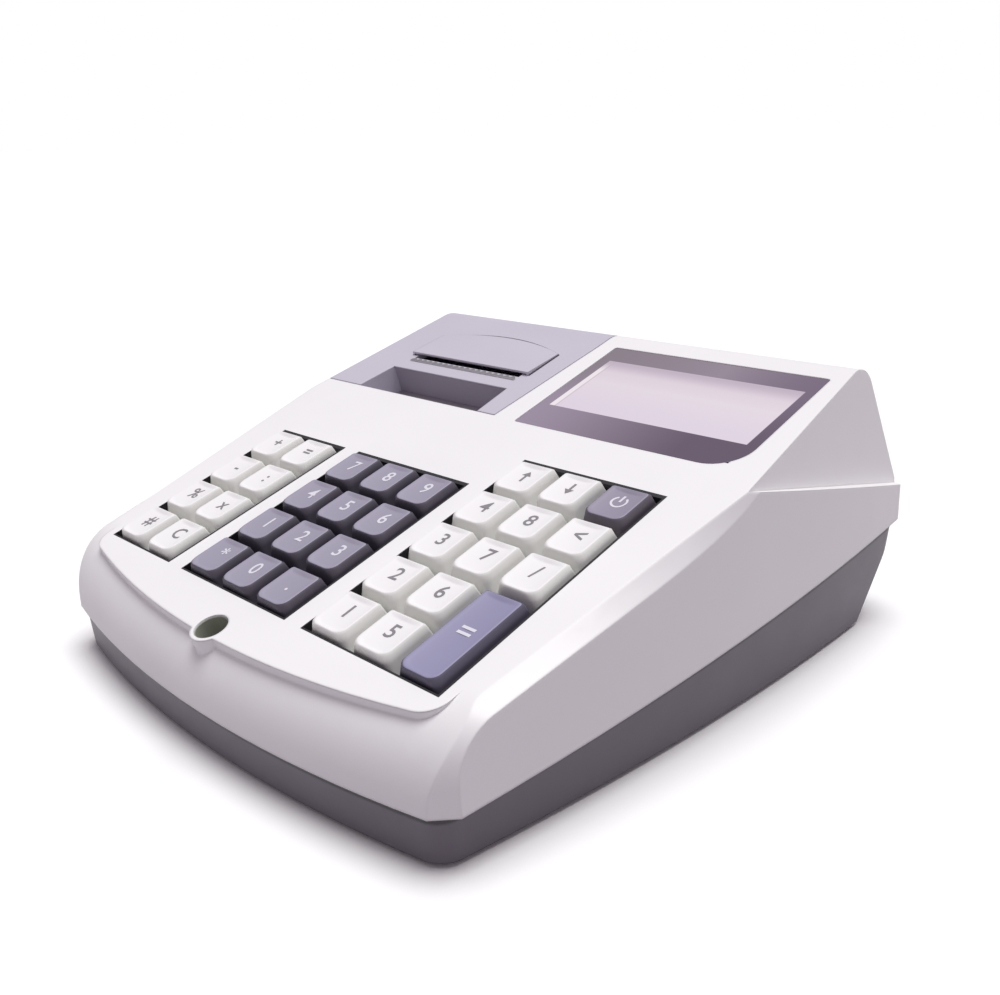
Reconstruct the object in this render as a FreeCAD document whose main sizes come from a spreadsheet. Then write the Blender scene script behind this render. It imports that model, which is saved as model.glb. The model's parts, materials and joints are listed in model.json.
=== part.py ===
import FreeCAD, Part
import math
import os
import Sketcher
from FreeCAD import Placement, Rotation, Vector

os.makedirs("parts", exist_ok=True)
doc = FreeCAD.newDocument("TicketRegister")

# Driving dimensions, millimetres and degrees
# Frame: X to the operator's right, Y to the rear, Z up, origin under the middle of the case.
# The deck frame has x across, v up the slope from the front line of the keys, n out of the deck.
DIMENSIONS = {
    # case outline seen from above
    "case_length": 221.0,
    "front_width": 186.0,
    "rear_width": 201.6,
    "side_bow": 5.1,
    "front_curve_radius": 429.0,
    "front_flare": 1.5,
    "rear_bow": 2.0,
    "rear_corner_radius": 5.0,
    "wall_draft": 1.2,
    # case seen from the side
    "deck_tilt": 16.6,
    "deck_height": 39.6,
    "keys_from_front": 21.0,
    "apron_radius": 24.0,
    "apron_bevel": 13.0,
    "peak_from_rear": 25.5,
    "peak_radius": 11.0,
    "rear_foot_inset": 1.5,
    "rear_foot_height": 46.0,
    "rear_foot_radius": 6.0,
    "parting_front": 14.4,
    "parting_rear": 34.6,
    "band_half": 88.2,
    "band_front": 8.2,
    "band_radius": 18.0,
    "band_run": 20.0,
    "band_low_half": 97.0,
    "band_low_rear_half": 104.0,
    "band_low_front": 17.6,
    "band_low_radius": 14.0,
    "band_low_drop": 2.6,
    "band_low_rear_drop": 14.0,
    "band_low_bow": 3.0,
    "wall": 2.6,
    # bevel along the deck edge, hump panels and descending ledge
    "kink_width": 200.0,
    "kink_from_keys": 102.0,
    "hump_rear_width": 183.8,
    "hump_length": 103.0,
    "panel_lean": 4.0,
    "ledge_drop": 13.0,
    # raised key plateau and seal boss at the front
    "plateau_front": 15.9,
    "plateau_bow": 10.4,
    "plateau_width": 168.0,
    "plateau_depth": 20.0,
    "plateau_corner": 8.0,
    "boss_radius": 6.2,
    "boss_from_keys": 12.7,
    "well_radius": 5.0,
    "well_depth": 13.0,
    "boss_floor": 2.0,
    "seal_hole_radius": 1.9,
    # base
    "base_lift": 1.5,
    "base_inset": 3.6,
    "base_front_inset": 2.4,
    "base_draft": 4.0,
    "base_corner_radius": 8.0,
    "base_wall": 2.4,
    "undercut_foot": 25.0,
    "undercut_top": 2.0,
    "lip_height": 2.0,
    "lip_thick": 1.5,
    "lip_corner": 16.0,
    "lip_rear_gap": 16.0,
    "fit_gap": 0.4,
    # keys
    "key_pitch": 18.0,
    "field_gap": 8.1,
    "well_wall": 1.6,
    "well_skirt": 9.0,
    "cap_gap": 0.6,
    "cap_base_depth": 4.6,
    "cap_rise": 2.3,
    "cap_top_width": 12.6,
    "cap_top_length": 14.0,
    "cap_top_forward": 0.4,
    "cap_front_corner": 2.6,
    "dish_radius": 26.0,
    "dish_depth": 0.8,
    "cap_shell": 1.5,
    "cap_hollow": 3.4,
    "stem_width": 4.6,
    "stem_reach": 13.0,
    "key_travel": 3.0,
    # key guide plate, dome mat and key board
    "guide_thick": 1.5,
    "guide_margin": 5.4,
    "guide_clearance": 0.35,
    "dome_gap": 0.3,
    "dome_height": 1.6,
    "dome_width": 8.0,
    "mat_thick": 0.8,
    "mat_margin": 2.0,
    "leg_width": 3.0,
    "board_thick": 1.7,
    "leg_inset": 1.6,
    # display
    "lens_left_front": 4.4,
    "lens_left_rear": 4.0,
    "lens_right_front": 90.0,
    "lens_right_rear": 89.3,
    "lens_front": 110.0,
    "lens_rear": 167.0,
    "lens_thick": 1.5,
    "lens_sink": 0.15,
    "lens_big_corner": 12.0,
    "lens_small_corner": 0.9,
    "lens_fit": 0.2,
    "lens_land": 2.6,
    "screen_left": 8.4,
    "screen_right": 86.0,
    "screen_front": 123.7,
    "screen_rear": 157.7,
    "lcd_margin": 2.0,
    "lcd_depth": 5.2,
    "lcd_bezel": 1.0,
    "lcd_fillet": 1.0,
    "lcd_drop": 1.2,
    "frame_wall": 1.6,
    # printer cover
    "cover_front": 110.5,
    "cover_right_front": 5.8,
    "cover_right_rear": 3.4,
    "cover_gap": 0.4,
    "cover_wall": 2.4,
    "bay_wall": 2.8,
    "bay_wall_foot": 40.0,
    "hinge_from_rear": 8.8,
    "hinge_height": 46.7,
    "knuckle_radius": 3.6,
    "knuckle_clearance": 3.6,
    "barrel_left": 84.0,
    "barrel_right": 14.0,
    "lug_width": 3.0,
    "lug_gap": 0.4,
    "pin_radius": 1.25,
    "pin_fit": 0.05,
    "pocket_left": 80.0,
    "pocket_right": 14.4,
    "pocket_rear": 127.8,
    "pocket_depth": 11.0,
    "tray_wall": 1.6,
    "hood_left": 77.8,
    "hood_right": 14.6,
    "hood_front": 138.4,
    "hood_corner": 155.8,
    "hood_rear": 162.0,
    "hood_rise": 1.4,
    "hood_slope": 3.0,
    "hood_wall": 0.8,
    "slit_front": 136.4,
    "slit_rear": 143.0,
    "slit_inset": 3.0,
    "tear_width": 2.4,
    "tear_rise": 0.4,
    "tear_tooth": 1.5,
    # printer
    "platen_radius": 6.0,
    "platen_y": 55.0,
    "platen_z": 62.0,
    "journal_radius": 2.5,
    "journal_fit": 0.06,
    "frame_plate": 1.6,
    "frame_left": 79.0,
    "frame_right": 16.0,
    "frame_front": 42.0,
    "frame_rear": 66.0,
    "frame_floor": 34.0,
    "frame_top": 69.0,
    "head_thick": 3.0,
    "head_height": 12.0,
    "head_gap": 0.3,
    "gear_module": 0.5,
    "platen_teeth": 28.0,
    "idler_teeth": 36.0,
    "pinion_teeth": 12.0,
    "gear_width": 3.0,
    "gear_backlash": 0.12,
    "motor_radius": 9.0,
    "motor_length": 16.0,
    # boards, battery, sockets, feet and fasteners
    "main_board_left": -8.0,
    "main_board_right": 84.0,
    "main_board_front": -56.0,
    "main_board_rear": 78.0,
    "main_board_height": 10.0,
    "post_radius": 3.4,
    "screw_radius": 1.5,
    "screw_head_radius": 2.9,
    "screw_head_thick": 2.0,
    "screw_length": 14.0,
    "screw_play": 0.3,
    "cell_radius": 9.2,
    "cell_length": 66.0,
    "socket_wall_from_rear": 29.0,
    "socket_bay_left": 12.0,
    "socket_bay_right": 80.0,
    "socket_bay_top": 29.0,
    "foot_recess": 1.0,
    "foot_width": 11.0,
    "foot_taper": 8.0,
    "foot_inset_x": 14.0,
    "foot_inset_front": 22.0,
    "foot_inset_rear": 44.0,
    "cover_slant_end": 166.0,
    "pocket_right_rear": 15.7,
    "pocket_left_rear": 78.1,
    "ledge_bay_half": 97.2,
    "hinge_drop": 0.8,
    "lug_drop": 9.5,
    "post_x": 92.0,
    "post_mid_y": 20.0,
    "post_from_rear": 23.0,
    "post_rib": 9.0,
    "post_seat": 7.0,
    "top_post_height": 12.0,
    "motor_y": 54.0,
    "motor_z": 45.5,
    "gear_side": 0.4,
    "tub_y": 79.5,
    "tub_z": 53.0,
    "tub_radius": 15.0,
    "tub_wall": 1.2,
    "pinion_shaft_radius": 1.0,
    "head_line": 0.5,
    "head_side": 3.0,
    "spring_thick": 0.8,
    "spring_drop": 4.0,
    "spring_width": 30.0,
    "chip_side": 12.0,
    "chip_height": 1.8,
    "battery_left": -84.0,
    "cell_gap": 0.4,
    "battery_front": -52.0,
    "socket_first": 22.0,
    "socket_space": 0.6,
    "socket_play": 0.25,
    "socket_long": 13.0,
    "socket_wall": 1.2,
    "power_width": 10.0,
    "power_height": 12.5,
    "power_mouth": 3.2,
    "mouth_depth": 9.0,
    "data_width": 14.0,
    "data_height": 12.5,
    "vent_count": 6.0,
    "vent_left": -20.0,
    "vent_pitch": 7.0,
    "vent_width": 2.5,
    "vent_front": -60.0,
    "vent_length": 26.0,
    "seal_reach": 5.0,
    # helpers for cuts and places
    "overrun": 60.0,
    "small_overrun": 1.0,
}


class Size:
    """A length or number that knows its value and the expression that it is bound to."""

    def __init__(self, value, text):
        self.value = float(value)
        self.text = text

    def _join(self, other, sign, flip=False):
        other = as_size(other)
        left, right = (other, self) if flip else (self, other)
        table = {
            "+": left.value + right.value,
            "-": left.value - right.value,
            "*": left.value * right.value,
        }
        value = left.value / right.value if sign == "/" else table[sign]
        return Size(value, "(%s %s %s)" % (left.text, sign, right.text))

    def __add__(self, other):
        return self._join(other, "+")

    def __radd__(self, other):
        return self._join(other, "+", True)

    def __sub__(self, other):
        return self._join(other, "-")

    def __rsub__(self, other):
        return self._join(other, "-", True)

    def __mul__(self, other):
        return self._join(other, "*")

    def __rmul__(self, other):
        return self._join(other, "*", True)

    def __truediv__(self, other):
        return self._join(other, "/")

    def __rtruediv__(self, other):
        return self._join(other, "/", True)

    def __neg__(self):
        return Size(-self.value, "(-%s)" % self.text)

    def __float__(self):
        return self.value


def as_size(number):
    return number if isinstance(number, Size) else Size(number, repr(float(number)))


def sine(angle):
    return Size(math.sin(math.radians(float(angle))), "sin(%s)" % angle.text)


def cosine(angle):
    return Size(math.cos(math.radians(float(angle))), "cos(%s)" % angle.text)


def tangent(angle):
    return Size(math.tan(math.radians(float(angle))), "tan(%s)" % angle.text)


def root(number):
    return Size(math.sqrt(float(number)), "sqrt(%s)" % number.text)


def make_sheet():
    """Write the dimensions into the sheet and return them by name."""
    sheet = doc.addObject("Spreadsheet::Sheet", "Sizes")
    for row, (name, number) in enumerate(DIMENSIONS.items(), start=1):
        cell = "A%d" % row
        sheet.set(cell, str(number))
        sheet.setAlias(cell, name)
    doc.recompute()
    return {name: Size(sheet.get(name), "Sizes." + name) for name in DIMENSIONS}


class Named:
    """Attribute access to the sheet's sizes."""

    def __init__(self, table):
        self.__dict__.update(table)


z = Named(make_sheet())

# Derived places
half_length = z.case_length / 2
keys_y = z.keys_from_front - half_length
deck_sin = sine(z.deck_tilt)
deck_cos = cosine(z.deck_tilt)
deck_tan = tangent(z.deck_tilt)
parting_slope = (z.parting_rear - z.parting_front) / z.case_length


def bind(obj, name, size):
    """Set a property and tie it to its expression."""
    obj.setExpression(name, as_size(size).text)


def put(obj, x=0, y=0, up=0, angle=None, axis=Vector(1, 0, 0)):
    """Place an object, its rotation about the axis bound too."""
    if angle is not None:
        obj.Placement = Placement(Vector(), Rotation(axis, float(angle)))
        bind(obj, "Placement.Rotation.Angle", angle)
    for name, size in (("x", x), ("y", y), ("z", up)):
        bind(obj, "Placement.Base." + name, size)
    return obj


def on_deck(obj, out=0):
    """Place an object that was drawn in deck coordinates, further out of the deck if asked."""
    out = as_size(out)
    return put(obj, 0, keys_y - out * deck_sin, z.deck_height + out * deck_cos, z.deck_tilt)


def arc_tangent(number):
    return Size(math.degrees(math.atan(float(number))), "(atan(%s) / 1 deg)" % number.text)


def deck_box(name, x_pair, v_pair, n_pair):
    """A box between two places on each axis of the deck."""
    block = doc.addObject("Part::Box", name)
    for side, pair in (("Length", x_pair), ("Width", v_pair), ("Height", n_pair)):
        bind(block, side, as_size(pair[1]) - pair[0])
    v, n = as_size(v_pair[0]), as_size(n_pair[0])
    return put(block, x_pair[0], keys_y + v * deck_cos - n * deck_sin,
               z.deck_height + v * deck_sin + n * deck_cos, z.deck_tilt)


def deck_rod(name, radius, x, v, low, high):
    """A round post or hole square to the deck, from one level to another."""
    v, low = as_size(v), as_size(low)
    rod = doc.addObject("Part::Cylinder", name)
    bind(rod, "Radius", radius)
    bind(rod, "Height", high - low)
    return put(rod, x, keys_y + v * deck_cos - low * deck_sin,
               z.deck_height + v * deck_sin + low * deck_cos, z.deck_tilt)


def box(name, x, y, up, length, width, height):
    block = doc.addObject("Part::Box", name)
    bind(block, "Length", length)
    bind(block, "Width", width)
    bind(block, "Height", height)
    return put(block, x, y, up)


def span_box(name, x_pair, y_pair, z_pair):
    """A box between two places on each axis."""
    low = [pair[0] for pair in (x_pair, y_pair, z_pair)]
    size = [as_size(pair[1]) - pair[0] for pair in (x_pair, y_pair, z_pair)]
    return box(name, *low, *size)


TURNS = {
    "Z": (Vector(1, 0, 0), 0.0),
    "X": (Vector(0, 1, 0), 90.0),
    "Y": (Vector(1, 0, 0), -90.0),
}


def cylinder(name, radius, height, x=0, y=0, up=0, along="Z"):
    """A cylinder that starts at a place and runs along +X, +Y or +Z."""
    rod = doc.addObject("Part::Cylinder", name)
    bind(rod, "Radius", radius)
    bind(rod, "Height", height)
    axis, angle = TURNS[along]
    rod.Placement = Placement(Vector(), Rotation(axis, angle))
    return put(rod, x, y, up)



def cut(name, base, tool):
    result = doc.addObject("Part::Cut", name)
    result.Base = base
    result.Tool = tool
    return result


def fuse(name, *pieces):
    result = doc.addObject("Part::MultiFuse", name)
    result.Shapes = list(pieces)
    result.Refine = True
    return result


def common(name, first, *others):
    """What all the pieces share, two at a time."""
    result = first
    for number, other in enumerate(others, start=1):
        shared = doc.addObject("Part::Common", "%s_%d" % (name, number))
        shared.Base = result
        shared.Tool = other
        result = shared
    return result


def group(name, *pieces):
    """Several separate solids kept together in one sub-part."""
    result = doc.addObject("Part::Compound", name)
    result.Links = list(pieces)
    return result


def finish(obj, label):
    """Give a sub-part the name of its node."""
    obj.Label = label
    nodes.append(obj)
    return obj


nodes = []


def origin_plane(body, role):
    for feature in body.Origin.OriginFeatures:
        if feature.Role == role:
            return feature
    raise RuntimeError("no plane " + role)


def bow_radius(start, end, bow):
    """Radius of the arc whose middle stands out of its chord by a bow."""
    dx = as_size(end[0]) - start[0]
    dy = as_size(end[1]) - start[1]
    chord_squared = dx * dx + dy * dy
    return chord_squared / (bow * 8) + bow / 2


def draw(body, name, corners, plane="XY_Plane"):
    """A closed sketch through corners (x, y) or (x, y, bow), counter-clockwise.

    The bow belongs to the edge that starts at the corner and swells outward.
    """
    sketch = body.newObject("Sketcher::SketchObject", name)
    sketch.AttachmentSupport = [(origin_plane(body, plane), "")]
    sketch.MapMode = "FlatFace"
    count = len(corners)
    for index in range(count):
        here, there = corners[index], corners[(index + 1) % count]
        start = Vector(float(here[0]), float(here[1]), 0)
        end = Vector(float(there[0]), float(there[1]), 0)
        if len(here) == 3:
            along = (end - start).normalize()
            middle = (start + end) / 2 + Vector(along.y, -along.x, 0) * float(here[2])
            sketch.addGeometry(Part.Arc(start, middle, end), False)
        else:
            sketch.addGeometry(Part.LineSegment(start, end), False)
    for index in range(count):
        after = (index + 1) % count
        sketch.addConstraint(Sketcher.Constraint("Coincident", index, 2, after, 1))
    for index, here in enumerate(corners):
        for kind, letter, size in (("DistanceX", "x", here[0]), ("DistanceY", "y", here[1])):
            size = as_size(size)
            number = sketch.addConstraint(
                Sketcher.Constraint(kind, -1, 1, index, 1, size.value))
            sketch.renameConstraint(number, "%s%d" % (letter, index))
            sketch.setExpression("Constraints.%s%d" % (letter, index), size.text)
        if len(here) == 3:
            radius = bow_radius(here, corners[(index + 1) % count], here[2])
            number = sketch.addConstraint(Sketcher.Constraint("Radius", index, radius.value))
            sketch.renameConstraint(number, "r%d" % index)
            sketch.setExpression("Constraints.r%d" % index, radius.text)
    return sketch


def prism(name, corners, length, taper=None, plane="XY_Plane", midplane=False, down=False):
    """A body with one padded sketch."""
    body = doc.addObject("PartDesign::Body", name)
    sketch = draw(body, name + "_sketch", corners, plane)
    pad = body.newObject("PartDesign::Pad", name + "_pad")
    pad.Profile = sketch
    bind(pad, "Length", length)
    if taper is not None:
        bind(pad, "TaperAngle", taper)
    if midplane:
        pad.SideType = "Symmetric"
    pad.Reversed = down
    return body


def round_edges(body, radius, wanted, name, kind="Fillet", size="Radius"):
    """Fillet the body's edges that the test picks, seen in the body's own frame."""
    doc.recompute()
    base = body.Tip
    names = ["Edge%d" % (i + 1) for i, edge in enumerate(base.Shape.Edges) if wanted(edge)]
    step = body.newObject("PartDesign::" + kind, name)
    step.Base = (base, names)
    bind(step, size, radius)
    return body


def direction(edge):
    start, end = edge.Vertexes[0].Point, edge.Vertexes[-1].Point
    return (end - start).normalize() if (end - start).Length > 0 else Vector()


def is_upright(edge):
    return len(edge.Vertexes) == 2 and abs(direction(edge).z) > 0.7


def in_front(edge):
    return is_upright(edge) and edge.CenterOfMass.y < 0


def in_rear(edge):
    return is_upright(edge) and edge.CenterOfMass.y > 0


def near(place, y, up, reach=2.0):
    return math.hypot(place.y - float(y), place.z - float(up)) < reach


def bow_of(half):
    """How far the curve of the front stands out over a half width."""
    radius = z.front_curve_radius
    return radius - root(radius * radius - half * half)


def plan_corners(front_half, rear_half, front, rear, ahead=None):
    """The case seen from above: bowed sides, a bowed front and a slightly bowed rear.

    With a length ahead, the front is straight and lies that far out, for cuts by other walls.
    """
    bow = bow_of(front_half)
    sides = [
        (front_half, front + bow, z.side_bow),
        (rear_half, rear - z.rear_bow, z.rear_bow),
        (-rear_half, rear - z.rear_bow, z.side_bow),
    ]
    if ahead is None:
        return [(-front_half, front + bow, bow)] + sides
    narrow = front_half - z.front_flare
    return sides + [(-front_half, front + bow), (-narrow, front - ahead), (narrow, front - ahead)]


def deck_level(y):
    """Height of the deck plane at a place along the case."""
    return z.deck_height + (y - keys_y) * deck_tan


def walls(name, t, ahead=None):
    """The case's walls as a drafted prism, inset all round."""
    low = z.parting_front - z.small_overrun
    lean = (z.parting_rear - low) * tangent(z.wall_draft)
    body = prism(name, plan_corners(
        z.front_width / 2 - t, z.rear_width / 2 - t, t - half_length, half_length - t + lean,
        ahead), z.case_length / 2, -z.wall_draft)
    round_edges(body, z.rear_corner_radius - t, in_rear, name + "_rear_corners")
    return put(body, 0, 0, low)


def side_profile(name, t):
    """The case seen from the side, from its sharp front to the rounded peak and foot."""
    drop = t / deck_cos
    peak_y = half_length - z.peak_from_rear - t
    foot_y = half_length - z.rear_foot_inset - t
    rear = half_length - t
    floor = -z.overrun / 4
    start = -z.case_length
    corners = [
        (start, floor),
        (rear, floor),
        (rear, z.parting_rear),
        (foot_y, z.rear_foot_height),
        (peak_y, deck_level(peak_y) - drop),
        (start, deck_level(start) - drop),
    ]
    body = prism(name, corners, z.case_length * 1.5, plane="YZ_Plane", midplane=True)
    spots = {
        "peak": (corners[4], z.peak_radius - t),
        "foot": (corners[3], z.rear_foot_radius - t),
    }
    for word, (spot, radius) in spots.items():
        def wanted(edge, spot=spot):
            return abs(direction(edge).x) > 0.99 and near(edge.CenterOfMass, *spot)
        round_edges(body, radius, wanted, "%s_%s" % (name, word))
    return body


def rolled_deck(name, t):
    """Deck and bowed front wall, wider than the case, with the roll between them.

    The hollow has a bevel in place of the roll.
    """
    wide = z.case_length / 2
    bow = bow_of(wide)
    front = t - half_length
    block = prism(name + "_front", [
        (-wide, front + bow, bow),
        (wide, front + bow),
        (wide, z.case_length),
        (-wide, z.case_length),
    ], z.case_length, -z.wall_draft)
    put(block, 0, 0, z.parting_front - z.small_overrun)
    body = doc.addObject("PartDesign::Body", name)
    body.BaseFeature = common(name + "_sharp", side_profile(name + "_profile", t), block)
    level = deck_level(front) - t / deck_cos

    def front_edge(edge):
        middle = edge.valueAt((edge.FirstParameter + edge.LastParameter) / 2)
        return near(middle, front, level) and edge.Length > z.case_length.value / 2
    if float(t) == 0:
        return round_edges(body, z.apron_radius, front_edge, name + "_roll")
    return round_edges(body, z.apron_bevel, front_edge, name + "_bevel", "Chamfer", "Size")


def outer_form(name, inset, bay=None):
    """The case's outside, or with an inset the hollow inside it."""
    t = as_size(inset)
    # plateau that carries the keys past the rolled front
    half = z.plateau_width / 2 - t
    plateau = prism(name + "_plateau", [
        (-half, z.plateau_bow - z.plateau_front + t, z.plateau_bow),
        (half, z.plateau_bow - z.plateau_front + t),
        (half, z.kink_from_keys / 2),
        (-half, z.kink_from_keys / 2),
    ], z.plateau_depth, down=True)
    round_edges(plateau, z.plateau_corner, in_front, name + "_plateau_corners")
    on_deck(plateau)
    bind(plateau, "Placement.Base.z", z.deck_height - t / deck_cos)
    deck = fuse(name + "_deck", rolled_deck(name + "_rolled", t), plateau)
    return common(name + "_form", walls(name + "_walls", t, z.small_overrun), deck,
                  upper_sides(name, t, bay))


def band_section(body, name, half, flare, front, level, slope, radius, bow):
    """Side profile in an upright plane that flares out to the rear.

    The half width and the level are those at the front line of the keys.
    """
    turn = arc_tangent(flare)
    stretch = cosine(turn)
    half_turn = (90 - arc_tangent(slope)) / 2
    reach = radius * tangent(half_turn)
    swell = radius * (1 - cosine(half_turn))
    rear = keys_y + z.kink_from_keys * deck_cos + z.band_run
    corner = level + (front - keys_y) * slope
    along = reach * cosine(arc_tangent(slope))
    floor = -z.overrun / 4
    high_rear = (rear / stretch, level + (rear - keys_y) * slope)
    sketch = draw(body, name, [
        (front / stretch, floor),
        (rear / stretch, floor),
        high_rear if bow is None else high_rear + (bow,),
        ((front + along) / stretch, corner + along * slope, swell),
        (front / stretch, corner - reach),
    ], "YZ_Plane")
    sketch.AttachmentOffset = Placement(Vector(), Rotation(Vector(0, -1, 0), float(turn)))
    bind(sketch, "AttachmentOffset.Rotation.Angle", turn)
    bind(sketch, "AttachmentOffset.Base.z", half - keys_y * flare)
    return sketch


def band_side(name, t, flare):
    """The space at the right of the deck under the bevelled band along its edge."""
    drop = t / deck_cos
    run = z.kink_from_keys * deck_cos
    body = doc.addObject("PartDesign::Body", name)
    high = band_section(body, name + "_high", z.band_half - t, flare,
                        z.band_front - half_length + t, z.deck_height - drop, deck_tan,
                        z.band_radius - t, None)
    low_flare = (z.band_low_rear_half - z.band_low_half) / run
    low_slope = deck_tan - (z.band_low_rear_drop - z.band_low_drop) / run
    low = band_section(body, name + "_low", z.band_low_half - t, low_flare,
                       z.band_low_front - half_length + t,
                       z.deck_height - z.band_low_drop - drop, low_slope,
                       z.band_low_radius - t, z.band_low_bow)
    loft = body.newObject("PartDesign::AdditiveLoft", name + "_band")
    loft.Profile = high
    loft.Sections = [low]
    loft.Ruled = True
    return body


def upper_sides(name, t, bay):
    """The bevelled band in front of the kink, and the hump and its ledge behind it.

    A bay given here is cut from the hump down to the ledge.
    """
    run = z.kink_from_keys * deck_cos
    kink_half = z.kink_width / 2
    flare = (kink_half - z.band_half) / run
    kink_y = keys_y + run
    kink_z = z.deck_height + z.kink_from_keys * deck_sin - t / cosine(z.ledge_drop)
    end = kink_y + z.band_run
    start = -z.case_length
    front_half = z.band_half - t + (start - keys_y) * flare
    end_half = z.band_half - t + (end - keys_y) * flare
    core = prism(name + "_core", [
        (-front_half, start), (front_half, start), (end_half, end), (-end_half, end),
    ], z.case_length * 1.5)
    put(core, 0, 0, -z.overrun / 4)
    right = band_side(name + "_band", t, flare)
    left = doc.addObject("Part::Mirroring", name + "_band_left")
    left.Source = right
    left.Normal = Vector(1, 0, 0)
    rest = span_box(name + "_rest", (-z.case_length, z.case_length),
                    (kink_y + z.band_run / 2, z.case_length), (-z.overrun / 4, z.case_length))
    steps = prism(name + "_steps", [
        (start, -z.overrun / 4),
        (z.case_length, -z.overrun / 4),
        (z.case_length, kink_z - (z.case_length - kink_y) * tangent(z.ledge_drop)),
        (kink_y, kink_z),
        (kink_y, z.case_length),
        (start, z.case_length),
    ], z.case_length * 1.5, plane="YZ_Plane", midplane=True)
    low_part = common(name + "_low_part", steps,
                      fuse(name + "_band_all", core, right, left, rest))
    # hump above the ledge
    grow = t * 1.2
    rear_half = z.hump_rear_width / 2 - grow
    hump = prism(name + "_hump", [
        (grow - kink_half, z.kink_from_keys),
        (kink_half - grow, z.kink_from_keys),
        (rear_half, z.kink_from_keys + z.hump_length),
        (-rear_half, z.kink_from_keys + z.hump_length),
    ], z.case_length / 2, z.panel_lean, down=True)
    on_deck(hump)
    behind = span_box(name + "_behind", (-z.case_length, z.case_length),
                      (kink_y, z.case_length), (-z.overrun / 4, z.case_length))
    hump = common(name + "_hump_part", hump, behind)
    return fuse(name + "_upper", low_part, cut(name + "_hump_rest", hump, bay) if bay else hump)


# Case parts

def parting_level(y):
    """Height of the parting plane at a place along the case."""
    return z.parting_front + (y + half_length) * parting_slope


def wedge_box(name, y, up, angle, long, tall):
    """A wide box that starts on a line across the case and is tipped about that line."""
    block = doc.addObject("Part::Box", name)
    bind(block, "Length", z.case_length * 2)
    bind(block, "Width", long)
    bind(block, "Height", tall)
    return put(block, -z.case_length, y, up, angle)


def above_parting(name, lift=0):
    start = -half_length - z.overrun
    return wedge_box(name, start, parting_level(start) + lift, arc_tangent(parting_slope),
                     z.case_length * 2, z.case_length)


def fields():
    """The three key fields: left edge, columns and rows."""
    pitch = z.key_pitch
    left = -(pitch * 8 + z.field_gap * 2) / 2
    middle = left + pitch * 2 + z.field_gap
    right = middle + pitch * 3 + z.field_gap
    return [("left", left, 2, 4), ("middle", middle, 3, 4), ("right", right, 3, 5)]


def cover_plate(name, gap):
    """The space of the cover's thin top plate with its slanting right edge."""
    right = z.cover_right_front + gap
    far = z.kink_from_keys + z.hump_length + z.overrun
    plate = prism(name + "_plate", [
        (-z.case_length, z.cover_front + gap),
        (-right, z.cover_front + gap),
        (-z.cover_right_rear - gap, z.cover_slant_end),
        (-z.cover_right_rear - gap, far),
        (-z.case_length, far),
    ], z.cover_wall + z.overrun + z.cover_gap - gap, down=True)
    return on_deck(plate, z.overrun)


def cover_block(name, gap):
    """The space of the cover above and below its top plate."""
    far = z.kink_from_keys + z.hump_length + z.overrun
    return deck_box(name + "_block", (-z.case_length, -z.cover_right_front - gap),
                    (z.cover_front + gap, far), (-z.case_length, z.overrun))


def cover_region(name, gap):
    """The space of the printer cover down to the ledge, less a gap all round."""
    kink_y = keys_y + z.kink_from_keys * deck_cos
    kink_z = z.deck_height + z.kink_from_keys * deck_sin
    over = wedge_box(name + "_over_ledge", kink_y, kink_z + gap, -z.ledge_drop,
                     z.case_length, z.case_length)
    return fuse(name + "_region", common(name + "_low", cover_block(name, gap), over),
                cover_plate(name, gap))


def case_posts():
    """Places of the four case screws."""
    rear = half_length - z.post_from_rear
    return [(side * z.post_x, y) for side in (-1, 1) for y in (z.post_mid_y, rear)]


def lens_outline(name, grow, depth, out):
    """The display lens outline, grown all round, as a prism going down from a level."""
    plate = prism(name, [
        (z.lens_left_front - grow, z.lens_front - grow),
        (z.lens_right_front + grow, z.lens_front - grow),
        (z.lens_right_rear + grow, z.lens_rear + grow),
        (z.lens_left_rear - grow, z.lens_rear + grow),
    ], depth, down=True)

    def big(edge):
        place = edge.CenterOfMass
        return is_upright(edge) and place.x > float(z.lens_right_rear) / 2 \
            and place.y < float(z.lens_rear) - float(z.lens_big_corner)

    def small(edge):
        place = edge.CenterOfMass
        left_or_rear = place.x < float(z.lens_right_rear) / 2 \
            or place.y > float(z.lens_rear) - float(z.lens_big_corner)
        return is_upright(edge) and left_or_rear
    round_edges(plate, z.lens_small_corner + grow, small, name + "_small")
    round_edges(plate, z.lens_big_corner + grow, big, name + "_big")
    return on_deck(plate, out)


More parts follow.
